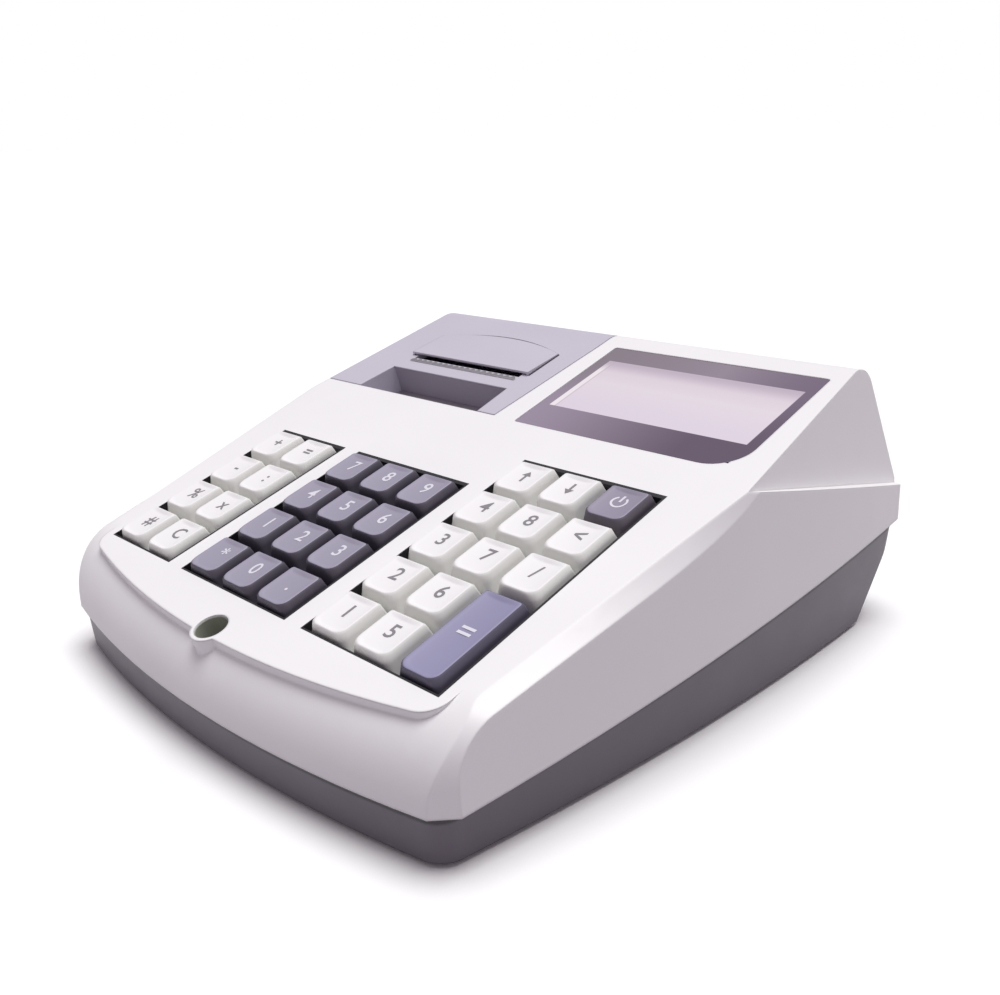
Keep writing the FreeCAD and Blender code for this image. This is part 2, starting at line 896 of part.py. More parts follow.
def top_housing():
    form = outer_form("top_form", 0, cover_block("bay", 0))
    hollow = outer_form("top_hollow", z.wall)
    upper = common("top_upper", form, above_parting("top_above"))
    shell = cut("top_shell", upper, hollow)
    # well skirts, bay walls, seal boss and screw posts
    added = []
    for word, left, columns, rows in fields():
        right, rear = left + z.key_pitch * columns, z.key_pitch * rows
        added.append(deck_box("skirt_" + word, (left - z.well_wall, right + z.well_wall),
                              (-z.well_wall, rear + z.well_wall),
                              (-z.well_skirt, -z.wall / 2)))
    side = -z.cover_right_front
    front_slab = deck_box("bay_front", (-z.case_length, side + z.bay_wall),
                          (z.cover_front - z.bay_wall, z.cover_front),
                          (-z.case_length, z.overrun))
    side_slab = deck_box("bay_side", (side, side + z.bay_wall),
                         (z.cover_front - z.bay_wall, z.case_length * 1.5),
                         (-z.case_length, z.overrun))
    high = span_box("bay_high", (-z.case_length, z.case_length), (-z.case_length, z.case_length),
                    (z.bay_wall_foot, z.case_length))
    added.append(common("bay_walls", form, fuse("bay_slabs", front_slab, side_slab), high))
    solid = fuse("top_with_walls", shell, *added)
    openings = [cover_plate("bay", 0)]
    hinge_y = half_length - z.hinge_from_rear
    reach = z.knuckle_radius + z.knuckle_clearance
    bay_left = -z.ledge_bay_half
    openings.append(cylinder("hinge_room", reach, side - bay_left, bay_left, hinge_y,
                             z.hinge_height, "X"))
    openings.append(span_box("hinge_gap", (bay_left, side), (hinge_y, hinge_y + z.overrun),
                             (z.hinge_height - z.knuckle_radius - z.hinge_drop,
                              z.hinge_height + z.knuckle_radius)))
    for word, left, columns, rows in fields():
        openings.append(deck_box("well_" + word, (left, left + z.key_pitch * columns),
                                 (0, z.key_pitch * rows),
                                 (-z.well_skirt - z.small_overrun, z.overrun)))
    openings.append(lens_outline("lens_rebate", z.lens_fit,
                                 z.lens_thick + z.lens_sink + z.small_overrun, z.small_overrun))
    openings.append(deck_box("lens_window",
                             (z.lens_left_front + z.lens_land, z.lens_right_rear - z.lens_land),
                             (z.lens_front + z.lens_land, z.lens_rear - z.lens_land),
                             (-z.wall * 2, z.overrun)))
    opened = cut("top_opened", solid, fuse("top_openings", *openings))
    # what is added after the openings
    boss_depth = z.well_depth + z.boss_floor
    late = [deck_rod("seal_boss", z.boss_radius, 0, -z.boss_from_keys, -boss_depth, 0)]
    for number, (x, y) in enumerate(case_posts()):
        level = parting_level(y)
        late.append(post("top_post_%d" % number, z.post_radius, x, y, level,
                         level + z.top_post_height))
        outward = x + (1 if float(x) > 0 else -1) * z.post_rib
        low, high = (x, outward) if float(x) > 0 else (outward, x)
        rib = span_box("post_rib_%d" % number, (low, high),
                       (y - z.well_wall / 2, y + z.well_wall / 2),
                       (level + z.lip_height * 2, level + z.top_post_height))
        late.append(common("post_rib_in_%d" % number, rib, form))
    for number, x in enumerate(lug_places()):
        lug = cylinder("lug_eye_%d" % number, z.knuckle_radius, z.lug_width, x, hinge_y,
                       z.hinge_height, "X")
        stem = span_box("lug_stem_%d" % number, (x, x + z.lug_width),
                        (hinge_y - z.knuckle_radius, half_length - z.wall / 2),
                        (z.hinge_height - z.lug_drop, z.hinge_height - z.knuckle_radius / 2))
        room = span_box("lug_room_%d" % number, (x, x + z.lug_width),
                        (hinge_y + z.knuckle_radius, half_length),
                        (z.hinge_height - z.knuckle_radius - z.hinge_drop, z.hinge_height))
        foot = common("lug_in_%d" % number, cut("lug_foot_%d" % number, stem, room), form)
        late.append(fuse("lug_%d" % number, lug, foot))
    full = fuse("top_full", opened, *late)
    holes = [
        deck_rod("seal_well", z.well_radius, 0, -z.boss_from_keys, -z.well_depth, z.overrun),
        deck_rod("seal_hole", z.seal_hole_radius, 0, -z.boss_from_keys, -z.overrun, 0),
        cylinder("hinge_pin_hole", z.pin_radius + z.pin_fit,
                 lug_places()[1] - lug_places()[0] + z.lug_width + z.small_overrun * 2,
                 lug_places()[0] - z.small_overrun, hinge_y, z.hinge_height, "X"),
    ]
    for number, (x, y) in enumerate(case_posts()):
        holes.append(cylinder("top_pilot_%d" % number, z.screw_radius, z.top_post_height, x, y,
                              parting_level(y) - z.small_overrun))
    return finish(cut("top_done", full, fuse("top_holes", *holes)), "top_housing")


def lug_places():
    """Left sides of the two hinge lugs."""
    return [-z.barrel_left - z.lug_gap - z.lug_width, -z.barrel_right + z.lug_gap]


def post(name, half, x, y, low, high):
    """A square upright post between two levels."""
    return span_box(name, (x - half, x + half), (y - half, y + half), (low, high))


def base_block(name, inset, floor):
    """The base's outside, or with an inset the hollow inside it."""
    t = as_size(inset)
    widen = z.base_inset + t
    body = prism(name, plan_corners(
        z.front_width / 2 - widen, z.rear_width / 2 - widen,
        z.base_front_inset + t - half_length, half_length - widen),
        z.case_length / 2, z.base_draft)
    round_edges(body, z.base_corner_radius - t / 2, in_front, name + "_front_corners")
    round_edges(body, z.base_corner_radius - t / 2, in_rear, name + "_rear_corners")
    return put(body, 0, 0, floor)


def lip():
    """The rim of the base that rises inside the top housing, at its front and sides."""
    outer = z.wall + z.fit_gap
    rims = []
    for number, t in enumerate((outer, outer + z.lip_thick)):
        rim = walls("lip_rim_%d" % number, t)
        rims.append(round_edges(rim, z.lip_corner, in_front, "lip_corners_%d" % number))
    ring = cut("lip_ring", *rims)
    ring = cut("lip_trimmed", ring, above_parting("lip_above", z.lip_height))
    sides = span_box("lip_sides", (-z.case_length, z.case_length),
                     (-z.case_length, half_length - z.lip_rear_gap), (0, z.case_length))
    return common("lip_band", ring, above_parting("lip_from", -z.lip_height), sides)


def undercut(name, inset):
    """The sloping rear of the base as a block to take away."""
    t = as_size(inset)
    run = z.undercut_foot - z.undercut_top
    rise = z.parting_rear - z.base_lift
    angle = arc_tangent(rise / run)
    foot = half_length - z.undercut_foot
    back = z.overrun * cosine(angle)
    down = z.overrun * sine(angle)
    shift = t / sine(angle)
    block = wedge_box(name, foot - back - shift, z.base_lift - down, angle, z.case_length * 2,
                      z.case_length)
    # turned so that the block lies under the slope
    bind(block, "Placement.Base.y", foot - back - shift + z.case_length * sine(angle))
    bind(block, "Placement.Base.z", z.base_lift - down - z.case_length * cosine(angle))
    return block


def bottom_housing():
    outside = cut("base_outside", base_block("base_outer", 0, z.base_lift), undercut("base_slope", 0))
    inside = cut("base_inside", base_block("base_inner", z.base_wall, z.base_lift + z.base_wall),
                 undercut("base_inner_slope", z.base_wall))
    wall_y = half_length - z.socket_wall_from_rear
    bay = span_box("socket_bay", (z.socket_bay_left, z.socket_bay_right),
                   (wall_y, wall_y + z.overrun), (0, z.socket_bay_top))
    bay_shell = span_box("socket_bay_shell",
                         (z.socket_bay_left - z.base_wall, z.socket_bay_right + z.base_wall),
                         (wall_y - z.base_wall, wall_y + z.overrun),
                         (0, z.socket_bay_top + z.base_wall))
    hollow = cut("base_hollow", inside, bay_shell)
    shell = cut("base_shell", outside, fuse("base_voids", hollow, bay))
    shell = cut("base_trimmed", shell, above_parting("base_above"))
    posts, holes = [], []
    root_level = z.base_lift + z.base_wall / 2
    for number, (x, y) in enumerate(case_posts()):
        level = parting_level(y)
        posts.append(post("base_post_%d" % number, z.post_radius + z.well_wall / 2, x, y,
                          z.base_lift, level))
        holes.append(cylinder("base_screw_hole_%d" % number, z.screw_radius + z.screw_play,
                              z.overrun, x, y, 0))
        holes.append(cylinder("base_counterbore_%d" % number,
                              z.screw_head_radius + z.screw_play,
                              level - z.post_seat, x, y, 0))
    for number, (x, y) in enumerate(printer_posts()):
        posts.append(post("printer_post_%d" % number, z.post_radius, x, y, root_level,
                          z.frame_floor))
    for number, (x, y) in enumerate(board_posts()):
        posts.append(post("board_post_%d" % number, z.post_radius, x, y, root_level,
                          z.main_board_height))
    for number, (x, y) in enumerate(foot_places()):
        holes.append(post("foot_recess_%d" % number, z.foot_width / 2 + z.screw_play, x, y, 0,
                          z.foot_recess + z.base_lift))
    # one window for the row of sockets
    row, gap = sockets(), z.socket_play
    level, far = row[0][3], row[-1][1] + row[-1][2]
    holes.append(span_box("socket_window", (row[0][1] - gap, far + gap),
                          (wall_y - z.overrun / 4, wall_y + z.small_overrun),
                          (level - gap, level + z.data_height + gap)))
    for number in range(int(z.vent_count.value)):
        x = z.vent_left + z.vent_pitch * number
        holes.append(span_box("vent_%d" % number, (x, x + z.vent_width),
                              (z.vent_front, z.vent_front + z.vent_length), (0, z.overrun / 8)))
    # tower under the seal well
    tower_y, tower_top = seal_tower()
    posts.append(post("seal_tower", z.post_radius, 0, tower_y, z.base_lift, tower_top))
    holes.append(cylinder("seal_pilot", z.screw_radius, z.overrun, 0, tower_y,
                          tower_top - z.screw_length))
    inner_posts = common("base_posts_in", fuse("base_posts", *posts), outside)
    full = fuse("base_full", shell, lip(), inner_posts)
    return finish(cut("base_done", full, fuse("base_holes", *holes)), "bottom_housing")


def seal_tower():
    """The post that takes the seal screw: its place along the case and its height."""
    depth = z.well_depth + z.boss_floor
    fall = depth + z.post_radius * 1.5
    y = keys_y - z.boss_from_keys * deck_cos + fall * deck_sin
    top = z.deck_height - z.boss_from_keys * deck_sin - fall * deck_cos
    return y, top


def printer_posts():
    inset = z.post_radius + z.small_overrun
    return [(x, y) for x in (inset - z.frame_left, -z.frame_right - inset)
            for y in (z.frame_front + inset, z.frame_rear - inset)]


def board_posts():
    inset = z.post_radius + z.small_overrun
    return [(x, y) for x in (z.main_board_left + inset, z.main_board_right - inset)
            for y in (z.main_board_front + inset, z.main_board_rear - inset)]


def foot_places():
    return [(side * (z.front_width / 2 - z.foot_inset_x), y) for side in (-1, 1)
            for y in (z.foot_inset_front - half_length, half_length - z.foot_inset_rear)]


def sockets():
    """The sockets on the main board: name, left side, width, level and height."""
    top = z.main_board_height + z.board_thick
    first = z.socket_first
    second = first + z.power_width + z.socket_space
    third = second + z.data_width + z.socket_space
    return [
        ("power", first, z.power_width, top, z.power_height),
        ("data", second, z.data_width, top, z.data_height),
        ("data", third, z.data_width, top, z.data_height),
    ]


# Printer cover and hinge

def printer_cover():
    form, hollow = outer_form("cover_form", 0), outer_form("cover_hollow", z.wall)
    gap = z.cover_gap
    outside = common("cover_outside", form, cover_region("cover", gap))
    right = z.cover_right_front + gap + z.wall
    room = deck_box("cover_room", (-z.case_length, -right),
                    (z.cover_front + gap + z.wall, z.case_length * 1.5),
                    (-z.case_length, z.overrun))
    shell = cut("cover_shell", outside, common("cover_inside", hollow, room))
    hinge_y = half_length - z.hinge_from_rear
    trim = span_box("cover_trim", (-z.case_length, z.case_length),
                    (hinge_y, hinge_y + z.overrun), (0, z.hinge_height))
    # finger pocket as an open tray
    tray = prism("pocket_tray", [
        (-z.pocket_left - z.tray_wall, z.cover_front + gap),
        (-z.pocket_right + z.tray_wall, z.cover_front + gap),
        (-z.pocket_right_rear + z.tray_wall, z.pocket_rear + z.tray_wall),
        (-z.pocket_left_rear - z.tray_wall, z.pocket_rear + z.tray_wall),
    ], z.pocket_depth + z.tray_wall, down=True)
    on_deck(tray)
    hole = prism("pocket_hole", [
        (-z.pocket_left, z.cover_front - z.small_overrun),
        (-z.pocket_right, z.cover_front - z.small_overrun),
        (-z.pocket_right_rear, z.pocket_rear),
        (-z.pocket_left_rear, z.pocket_rear),
    ], z.pocket_depth + z.overrun, down=True)
    on_deck(hole, z.overrun)
    barrel = cylinder("cover_barrel", z.knuckle_radius, z.barrel_left - z.barrel_right,
                      -z.barrel_left, hinge_y, z.hinge_height, "X")
    clear = []
    for number, x in enumerate(lug_places()):
        reach = z.knuckle_radius + z.lug_gap
        clear.append(cylinder("lug_clear_%d" % number, reach,
                              z.lug_width + z.lug_gap * 2, x - z.lug_gap, hinge_y,
                              z.hinge_height, "X"))
        clear.append(span_box("lug_notch_%d" % number,
                              (x - z.lug_gap, x + z.lug_width + z.lug_gap),
                              (hinge_y, hinge_y + z.overrun),
                              (0, z.hinge_height + reach + z.lug_gap * 3)))
    web = common("barrel_web", span_box(
        "barrel_web_bar", (-z.barrel_left, -z.barrel_right), (hinge_y, half_length),
        (z.hinge_height, z.hinge_height + z.knuckle_radius)), outside)
    slit = deck_box("paper_slit", (z.slit_inset - z.hood_left, -z.hood_right - z.slit_inset),
                    (z.slit_front, z.slit_rear), (-z.wall * 2, z.overrun))
    trimmed = cut("cover_trimmed", shell, fuse("cover_clears", trim, *clear))
    solid = fuse("cover_solid", trimmed, tray, barrel, web)
    bore = cylinder("cover_bore", z.pin_radius + z.pin_fit, z.case_length, -z.case_length / 2,
                    hinge_y, z.hinge_height, "X")
    done = cut("cover_done", solid, fuse("cover_openings", hole, slit, bore))
    return finish(done, "printer_cover")


def cover_hinge_pin():
    hinge_y = half_length - z.hinge_from_rear
    left, right = lug_places()
    pin = cylinder("hinge_pin", z.pin_radius, right - left + z.lug_width, left, hinge_y,
                   z.hinge_height, "X")
    return finish(pin, "cover_hinge_pin")


def hood_prism(name, inset, tall):
    return prism(name, [
        (inset - z.hood_left, z.hood_front + inset),
        (-z.hood_right - inset, z.hood_front + inset),
        (-z.hood_right - inset, z.hood_corner - inset / 2, z.hood_rear - z.hood_corner - inset / 2),
        (inset - z.hood_left, z.hood_corner - inset / 2),
    ], tall)


def cover_hood():
    """A low hood over the paper slit, open at its front."""
    outside = on_deck(hood_prism("hood_outer", as_size(0), z.overrun / 6), 0)
    inside = on_deck(hood_prism("hood_inner", z.hood_wall, z.overrun / 6), -z.small_overrun)
    mouth = deck_box("hood_mouth", (z.hood_wall - z.hood_left, -z.hood_right - z.hood_wall),
                     (z.hood_front - z.small_overrun, z.hood_front + z.hood_wall * 2),
                     (-z.small_overrun, z.overrun))
    lid_angle = z.deck_tilt - z.hood_slope
    front_y = keys_y + z.hood_front * deck_cos

    def over(name, level):
        rise = z.hood_rise - level
        block = wedge_box(name, front_y - rise * deck_sin,
                          z.deck_height + z.hood_front * deck_sin + rise * deck_cos,
                          lid_angle, z.overrun, z.overrun)
        bind(block, "Placement.Base.y", front_y - rise * deck_sin - z.small_overrun * 2)
        bind(block, "Placement.Base.z", z.deck_height + z.hood_front * deck_sin
             + rise * deck_cos - z.small_overrun * 2 * tangent(lid_angle))
        return block
    solid = cut("hood_solid", outside, over("hood_over", as_size(0)))
    void = cut("hood_void", fuse("hood_voids", inside, mouth), over("hood_under", z.hood_wall))
    return finish(cut("hood_done", solid, void), "cover_hood")


def tear_bar():
    """A serrated strip in front of the paper slit."""
    body = doc.addObject("PartDesign::Body", "tear_strip")
    left = z.slit_inset - z.hood_left
    width = z.hood_left - z.hood_right - z.slit_inset * 2
    rear = z.slit_front - z.small_overrun / 4
    front = rear - z.tear_width
    strip = draw(body, "tear_outline", [
        (left, front), (left + width, front), (left + width, rear - z.tear_tooth),
        (left, rear - z.tear_tooth)])
    pad = body.newObject("PartDesign::Pad", "tear_pad")
    pad.Profile = strip
    bind(pad, "Length", z.tear_rise)
    count = int(width.value / (2 * z.tear_tooth.value))
    tooth = draw(body, "tear_tooth_outline", [
        (left, rear - z.tear_tooth), (left + width / count, rear - z.tear_tooth),
        (left + width / count / 2, rear)])
    tip = body.newObject("PartDesign::Pad", "tear_tooth_pad")
    tip.Profile = tooth
    bind(tip, "Length", z.tear_rise)
    doc.recompute()
    row = body.newObject("PartDesign::LinearPattern", "tear_teeth")
    row.Originals = [tip]
    row.Direction = (strip, ["H_Axis"])
    bind(row, "Length", width - width / count)
    row.Occurrences = count
    body.Tip = row
    return finish(on_deck(body), "tear_bar")


# Printer mechanism

def gear_centres():
    """Where the platen, the idler and the pinion turn, as (y, z) pairs."""
    platen = (z.platen_y, z.platen_z)
    pinion = (z.motor_y, z.motor_z)
    first = (z.platen_teeth + z.idler_teeth) * z.gear_module / 2 + z.gear_backlash
    second = (z.idler_teeth + z.pinion_teeth) * z.gear_module / 2 + z.gear_backlash
    dy, dz = pinion[0] - platen[0], pinion[1] - platen[1]
    between = root(dy * dy + dz * dz)
    along = (first * first - second * second + between * between) / (between * 2)
    aside = root(first * first - along * along)
    idler = (platen[0] + dy / between * along - dz / between * aside,
             platen[1] + dz / between * along + dy / between * aside)
    return platen, idler, pinion


def heading(start, end):
    """Angle of the line between two centres, degrees, seen along +X."""
    return math.degrees(math.atan2(float(end[1]) - float(start[1]),
                                   float(end[0]) - float(start[0])))


def gear_phases():
    """Turn of each gear that puts its teeth in mesh at rest, degrees."""
    platen, idler, pinion = gear_centres()
    idler_pitch = 360 / float(z.idler_teeth)
    pinion_pitch = 360 / float(z.pinion_teeth)
    platen_turn = heading(platen, idler)
    idler_turn = platen_turn + 180 + idler_pitch / 2
    toward = heading(idler, pinion)
    lag = (idler_turn - toward) % idler_pitch
    pinion_turn = toward + 180 - lag * float(z.idler_teeth) / float(z.pinion_teeth) \
        + pinion_pitch / 2
    return platen_turn, idler_turn, pinion_turn


def gear(name, teeth, centre, turn, left, bore, shaft=None):
    """A spur gear that turns about X, with a bore or with a shaft of its own."""
    body = doc.addObject("PartDesign::Body", name)
    pitch_radius = teeth * z.gear_module / 2
    root_radius = pitch_radius - z.gear_module * 1.2
    tip_radius = pitch_radius + z.gear_module
    disc = body.newObject("PartDesign::AdditiveCylinder", name + "_disc")
    bind(disc, "Radius", root_radius)
    bind(disc, "Height", z.gear_width)
    half_pitch = z.gear_module * math.pi / 4 - z.gear_backlash / 2
    root_half = half_pitch * 1.35
    tip_half = half_pitch * 0.6
    sketch = draw(body, name + "_tooth_outline", [
        (root_radius - z.gear_module / 2, -root_half),
        (tip_radius, -tip_half),
        (tip_radius, tip_half),
        (root_radius - z.gear_module / 2, root_half),
    ])
    tooth = body.newObject("PartDesign::Pad", name + "_tooth")
    tooth.Profile = sketch
    bind(tooth, "Length", z.gear_width)
    doc.recompute()
    ring = body.newObject("PartDesign::PolarPattern", name + "_teeth")
    ring.Originals = [tooth]
    ring.Axis = (sketch, ["N_Axis"])
    ring.Angle = 360
    ring.Occurrences = int(teeth.value)
    body.Tip = ring
    if shaft is None:
        hole = body.newObject("PartDesign::SubtractiveCylinder", name + "_bore")
        bind(hole, "Radius", bore)
        bind(hole, "Height", z.gear_width)
    else:
        rod = body.newObject("PartDesign::AdditiveCylinder", name + "_shaft")
        bind(rod, "Radius", bore)
        bind(rod, "Height", z.gear_width + shaft)
    body.Placement = Placement(Vector(), Rotation(Vector(0, 1, 0), 90)
                               * Rotation(Vector(0, 0, 1), 90 + turn))
    bind(body, "Placement.Base.x", left)
    bind(body, "Placement.Base.y", centre[0])
    bind(body, "Placement.Base.z", centre[1])
    return finish(body, name)


def printer_frame():
    front, rear = z.frame_front, z.frame_rear
    left, right = -z.frame_left, -z.frame_right
    plates = [
        span_box("frame_left_plate", (left - z.frame_plate, left), (front, rear),
                 (z.frame_floor, z.frame_top)),
        span_box("frame_right_plate", (right, right + z.frame_plate), (front, rear),
                 (z.frame_floor, z.frame_top)),
        span_box("frame_base_plate", (left, right), (front, rear),
                 (z.frame_floor, z.frame_floor + z.frame_plate)),
        span_box("frame_head_stop", (left, right), (front, front + z.frame_plate),
                 (z.frame_floor, z.frame_top - z.head_height)),
    ]
    platen, idler, pinion = gear_centres()
    stub = cylinder("idler_stub", z.journal_radius, z.gear_width + z.gear_side * 2,
                    left - z.frame_plate - z.gear_width - z.gear_side * 2, idler[0], idler[1], "X")
    # tub for the paper roll behind the platen
    outer = z.tub_radius + z.tub_wall
    for number, x in enumerate((left - z.frame_plate, right)):
        plates.append(span_box("tub_end_%d" % number, (x, x + z.frame_plate),
                               (rear, z.tub_y + outer), (z.frame_floor, z.tub_z)))
    tub = cut("tub_shell",
              cylinder("tub_outer", outer, right - left, left, z.tub_y, z.tub_z, "X"),
              cylinder("tub_inner", z.tub_radius, right - left, left, z.tub_y, z.tub_z, "X"))
    over = span_box("tub_over", (left, right), (z.tub_y - z.overrun, z.tub_y + z.overrun),
                    (z.tub_z, z.tub_z + z.overrun))
    plates.append(cut("tub_half", tub, over))
    plates.append(span_box("tub_floor", (left, right), (rear, z.tub_y),
                           (z.frame_floor, z.frame_floor + z.frame_plate)))
    solid = fuse("frame_solid", *plates)
    bore = cylinder("frame_platen_bore", z.journal_radius + z.journal_fit, z.case_length,
                    -z.case_length, platen[0], platen[1], "X")
    motor_hole = cylinder("frame_motor_hole", z.journal_radius * 2, z.frame_plate * 3,
                          left - z.frame_plate * 2, pinion[0], pinion[1], "X")
    opened = cut("frame_opened", solid, fuse("frame_bores", bore, motor_hole))
    return finish(fuse("frame_done", opened, stub), "printer_frame")


def print_head():
    """The heating head: a plate with a raised line along its length."""
    y = z.platen_y - z.platen_radius - z.head_gap - z.head_line - z.head_thick
    low = z.platen_z - z.head_height / 2
    plate = span_box("head_plate", (z.head_side - z.frame_left, -z.frame_right - z.head_side),
                     (y, y + z.head_thick), (low, low + z.head_height))
    line = span_box("head_line_bar", (z.head_side * 2 - z.frame_left,
                                      -z.frame_right - z.head_side * 2),
                    (y + z.head_thick, y + z.head_thick + z.head_line),
                    (z.platen_z - z.head_line, z.platen_z + z.head_line))
    return finish(fuse("head_done", plate, line), "print_head")


def head_spring():
    """A leaf spring bent from strip that holds the head from behind."""
    back = z.platen_y - z.platen_radius - z.head_gap - z.head_line - z.head_thick
    rail = z.frame_front + z.frame_plate
    strip = z.spring_thick
    low = z.frame_top - z.head_height - z.spring_drop
    body = prism("spring_profile", [
        (rail, low),
        (rail + strip, low),
        (rail + strip, z.platen_z - z.spring_drop / 2),
        (back, z.platen_z),
        (back, z.platen_z + z.spring_drop / 2),
        (back - strip, z.platen_z + z.spring_drop / 2),
        (back - strip, z.platen_z + strip),
        (rail, z.platen_z - z.spring_drop / 2 + strip),
    ], z.spring_width, plane="YZ_Plane", midplane=True)
    return finish(put(body, -(z.frame_left + z.frame_right) / 2, 0, 0), "head_spring")


def platen_roller():
    """Rubber covered roller with two journals."""
    left = z.head_side - z.frame_left
    rubber = cylinder("platen_rubber", z.platen_radius,
                      z.frame_left - z.frame_right - z.head_side * 2, left,
                      z.platen_y, z.platen_z, "X")
    start = -z.frame_left - z.frame_plate - z.gear_width - z.gear_side * 2
    shaft = cylinder("platen_shaft", z.journal_radius, -z.frame_right + z.frame_plate - start,
                     start, z.platen_y, z.platen_z, "X")
    return finish(fuse("platen_done", rubber, shaft), "platen_roller")


def feed_motor():
    platen, idler, pinion = gear_centres()
    left = -z.frame_left
    can = cylinder("motor_can", z.motor_radius, z.motor_length, left, pinion[0], pinion[1], "X")
    nose = cylinder("motor_nose", z.journal_radius * 1.6, z.frame_plate, left - z.frame_plate,
                    pinion[0], pinion[1], "X")
    bore = cylinder("motor_bore", z.pinion_shaft_radius + z.journal_fit,
                    z.motor_length / 2 + z.small_overrun * 4, left - z.small_overrun * 3,
                    pinion[0], pinion[1], "X")
    return finish(cut("motor_done", fuse("motor_solid", can, nose), bore), "feed_motor")


def gears():
    platen, idler, pinion = gear_centres()
    turns = gear_phases()
    left = -z.frame_left - z.frame_plate - z.gear_side - z.gear_width
    gear("platen_gear", z.platen_teeth, platen, turns[0], left, z.journal_radius)
    gear("idler_gear", z.idler_teeth, idler, turns[1], left, z.journal_radius + z.journal_fit)
    gear("motor_pinion", z.pinion_teeth, pinion, turns[2], left, z.pinion_shaft_radius,
         z.gear_side + z.motor_length / 2)


# Display

def display_lens():
    return finish(lens_outline("lens_plate", as_size(0), z.lens_thick, -z.lens_sink),
                  "display_lens")


def lcd_box():
    m = z.lcd_margin
    return ((z.screen_left - m, z.screen_right - z.lens_land / 2),
            (z.screen_front - m, z.screen_rear + m))


def lcd_module():
    """Glass display in a thin bezel with its small board."""
    xs, vs = lcd_box()
    top = -z.wall - z.lcd_drop
    bezel = deck_box("lcd_bezel_block", xs, vs, (top - z.lcd_depth, top))
    window = deck_box("lcd_window", (xs[0] + z.lcd_bezel, xs[1] - z.lcd_bezel),
                      (vs[0] + z.lcd_bezel, vs[1] - z.lcd_bezel),
                      (top - z.lcd_fillet, top + z.small_overrun))
    return finish(cut("lcd_done", bezel, window), "lcd_module")


def display_frame():
    """Plastic frame that clips the display under the deck."""
    xs, vs = lcd_box()
    w, play = z.frame_wall, z.screw_play
    top = -z.wall
    outer = deck_box("display_outer", (xs[0] - w - play, xs[1] + w + play),
                     (vs[0] - w - play, vs[1] + w + play),
                     (top - z.lcd_drop - z.lcd_depth - w, top))
    inner = deck_box("display_inner", (xs[0] - play, xs[1] + play), (vs[0] - play, vs[1] + play),
                     (top - z.lcd_drop - z.lcd_depth, top + z.small_overrun))
    back = deck_box("display_back", (xs[0] + z.overrun / 8, xs[1] - z.overrun / 8),
                    (vs[0] + z.overrun / 8, vs[1] - z.overrun / 8), (-z.overrun, top))
    return finish(cut("display_frame_done", outer, fuse("display_voids", inner, back)),
                  "display_frame")


# Keyboard

def key_places():
    """Every key: name, field left edge, column, row and rows covered."""
    places = []
    for word, left, columns, rows in fields():
        for column in range(columns):
            for row in range(rows):
                if word == "right" and column == 2 and row == 1:
                    continue
                tall = 2 if word == "right" and column == 2 and row == 0 else 1
                places.append(("key_%s_c%d_r%d" % (word, column + 1, row + 1),
                               left, column, row, tall))
    return places


def stem_places(left, column, row, tall):
    """Centre of each stem of a key in deck coordinates."""
    x = left + z.key_pitch * (column + 0.5)
    if tall == 1:
        return [(x, z.key_pitch * (row + 0.5))]
    return [(x, z.key_pitch * (row + 0.5 + step)) for step in range(tall)]


def key(name, left, column, row, tall):
    """A dished key with sloping sides, hollow underneath, on its square stem."""
    body = doc.addObject("PartDesign::Body", name)
    length = z.key_pitch * tall
    base_x = (z.key_pitch - z.cap_gap) / 2
    base_y = (length - z.cap_gap) / 2
    top_x = z.cap_top_width / 2
    top_y = z.cap_top_length / 2 + z.key_pitch * (tall - 1) / 2
    cap = body.newObject("PartDesign::AdditiveWedge", name + "_cap")
    cap.AttachmentSupport = [(origin_plane(body, "XZ_Plane"), "")]
    cap.MapMode = "FlatFace"
    for side, size in (("Xmin", -base_x), ("Xmax", base_x), ("X2min", -top_x), ("X2max", top_x),
                       ("Ymin", -z.cap_base_depth), ("Ymax", z.cap_rise),
                       ("Zmin", -base_y), ("Zmax", base_y),
                       ("Z2min", z.cap_top_forward - top_y), ("Z2max", z.cap_top_forward + top_y)):
        bind(cap, side, size)
    doc.recompute()
    corners = ["Edge%d" % (i + 1) for i, edge in enumerate(cap.Shape.Edges) if in_front(edge)]
    chamfer = body.newObject("PartDesign::Chamfer", name + "_front_corners")
    chamfer.Base = (cap, corners)
    bind(chamfer, "Size", z.cap_front_corner)
    dish = body.newObject("PartDesign::SubtractiveCylinder", name + "_dish")
    bind(dish, "Radius", z.dish_radius)
    bind(dish, "Height", length)
    dish.AttachmentSupport = [(origin_plane(body, "XZ_Plane"), "")]
    dish.MapMode = "FlatFace"
    bind(dish, "AttachmentOffset.Base.y", z.cap_rise - z.dish_depth + z.dish_radius)
    bind(dish, "AttachmentOffset.Base.z", -length / 2)
    add_block(body, "PartDesign::SubtractiveBox", name + "_hollow", base_x - z.cap_shell,
              base_y - z.cap_shell, 0, -z.cap_base_depth, z.cap_hollow)
    for number, (x, v) in enumerate(stem_places(left, column, row, tall)):
        add_block(body, "PartDesign::AdditiveBox", "%s_stem_%d" % (name, number),
                  z.stem_width / 2, z.stem_width / 2, v - z.key_pitch * (row + tall / 2),
                  -z.stem_reach, z.stem_reach - z.cap_base_depth + z.cap_hollow)
    on_deck(body)
    v = z.key_pitch * (row + tall / 2)
    bind(body, "Placement.Base.x", left + z.key_pitch * (column + 0.5))
    bind(body, "Placement.Base.y", keys_y + v * deck_cos)
    bind(body, "Placement.Base.z", z.deck_height + v * deck_sin)
    return finish(body, name)


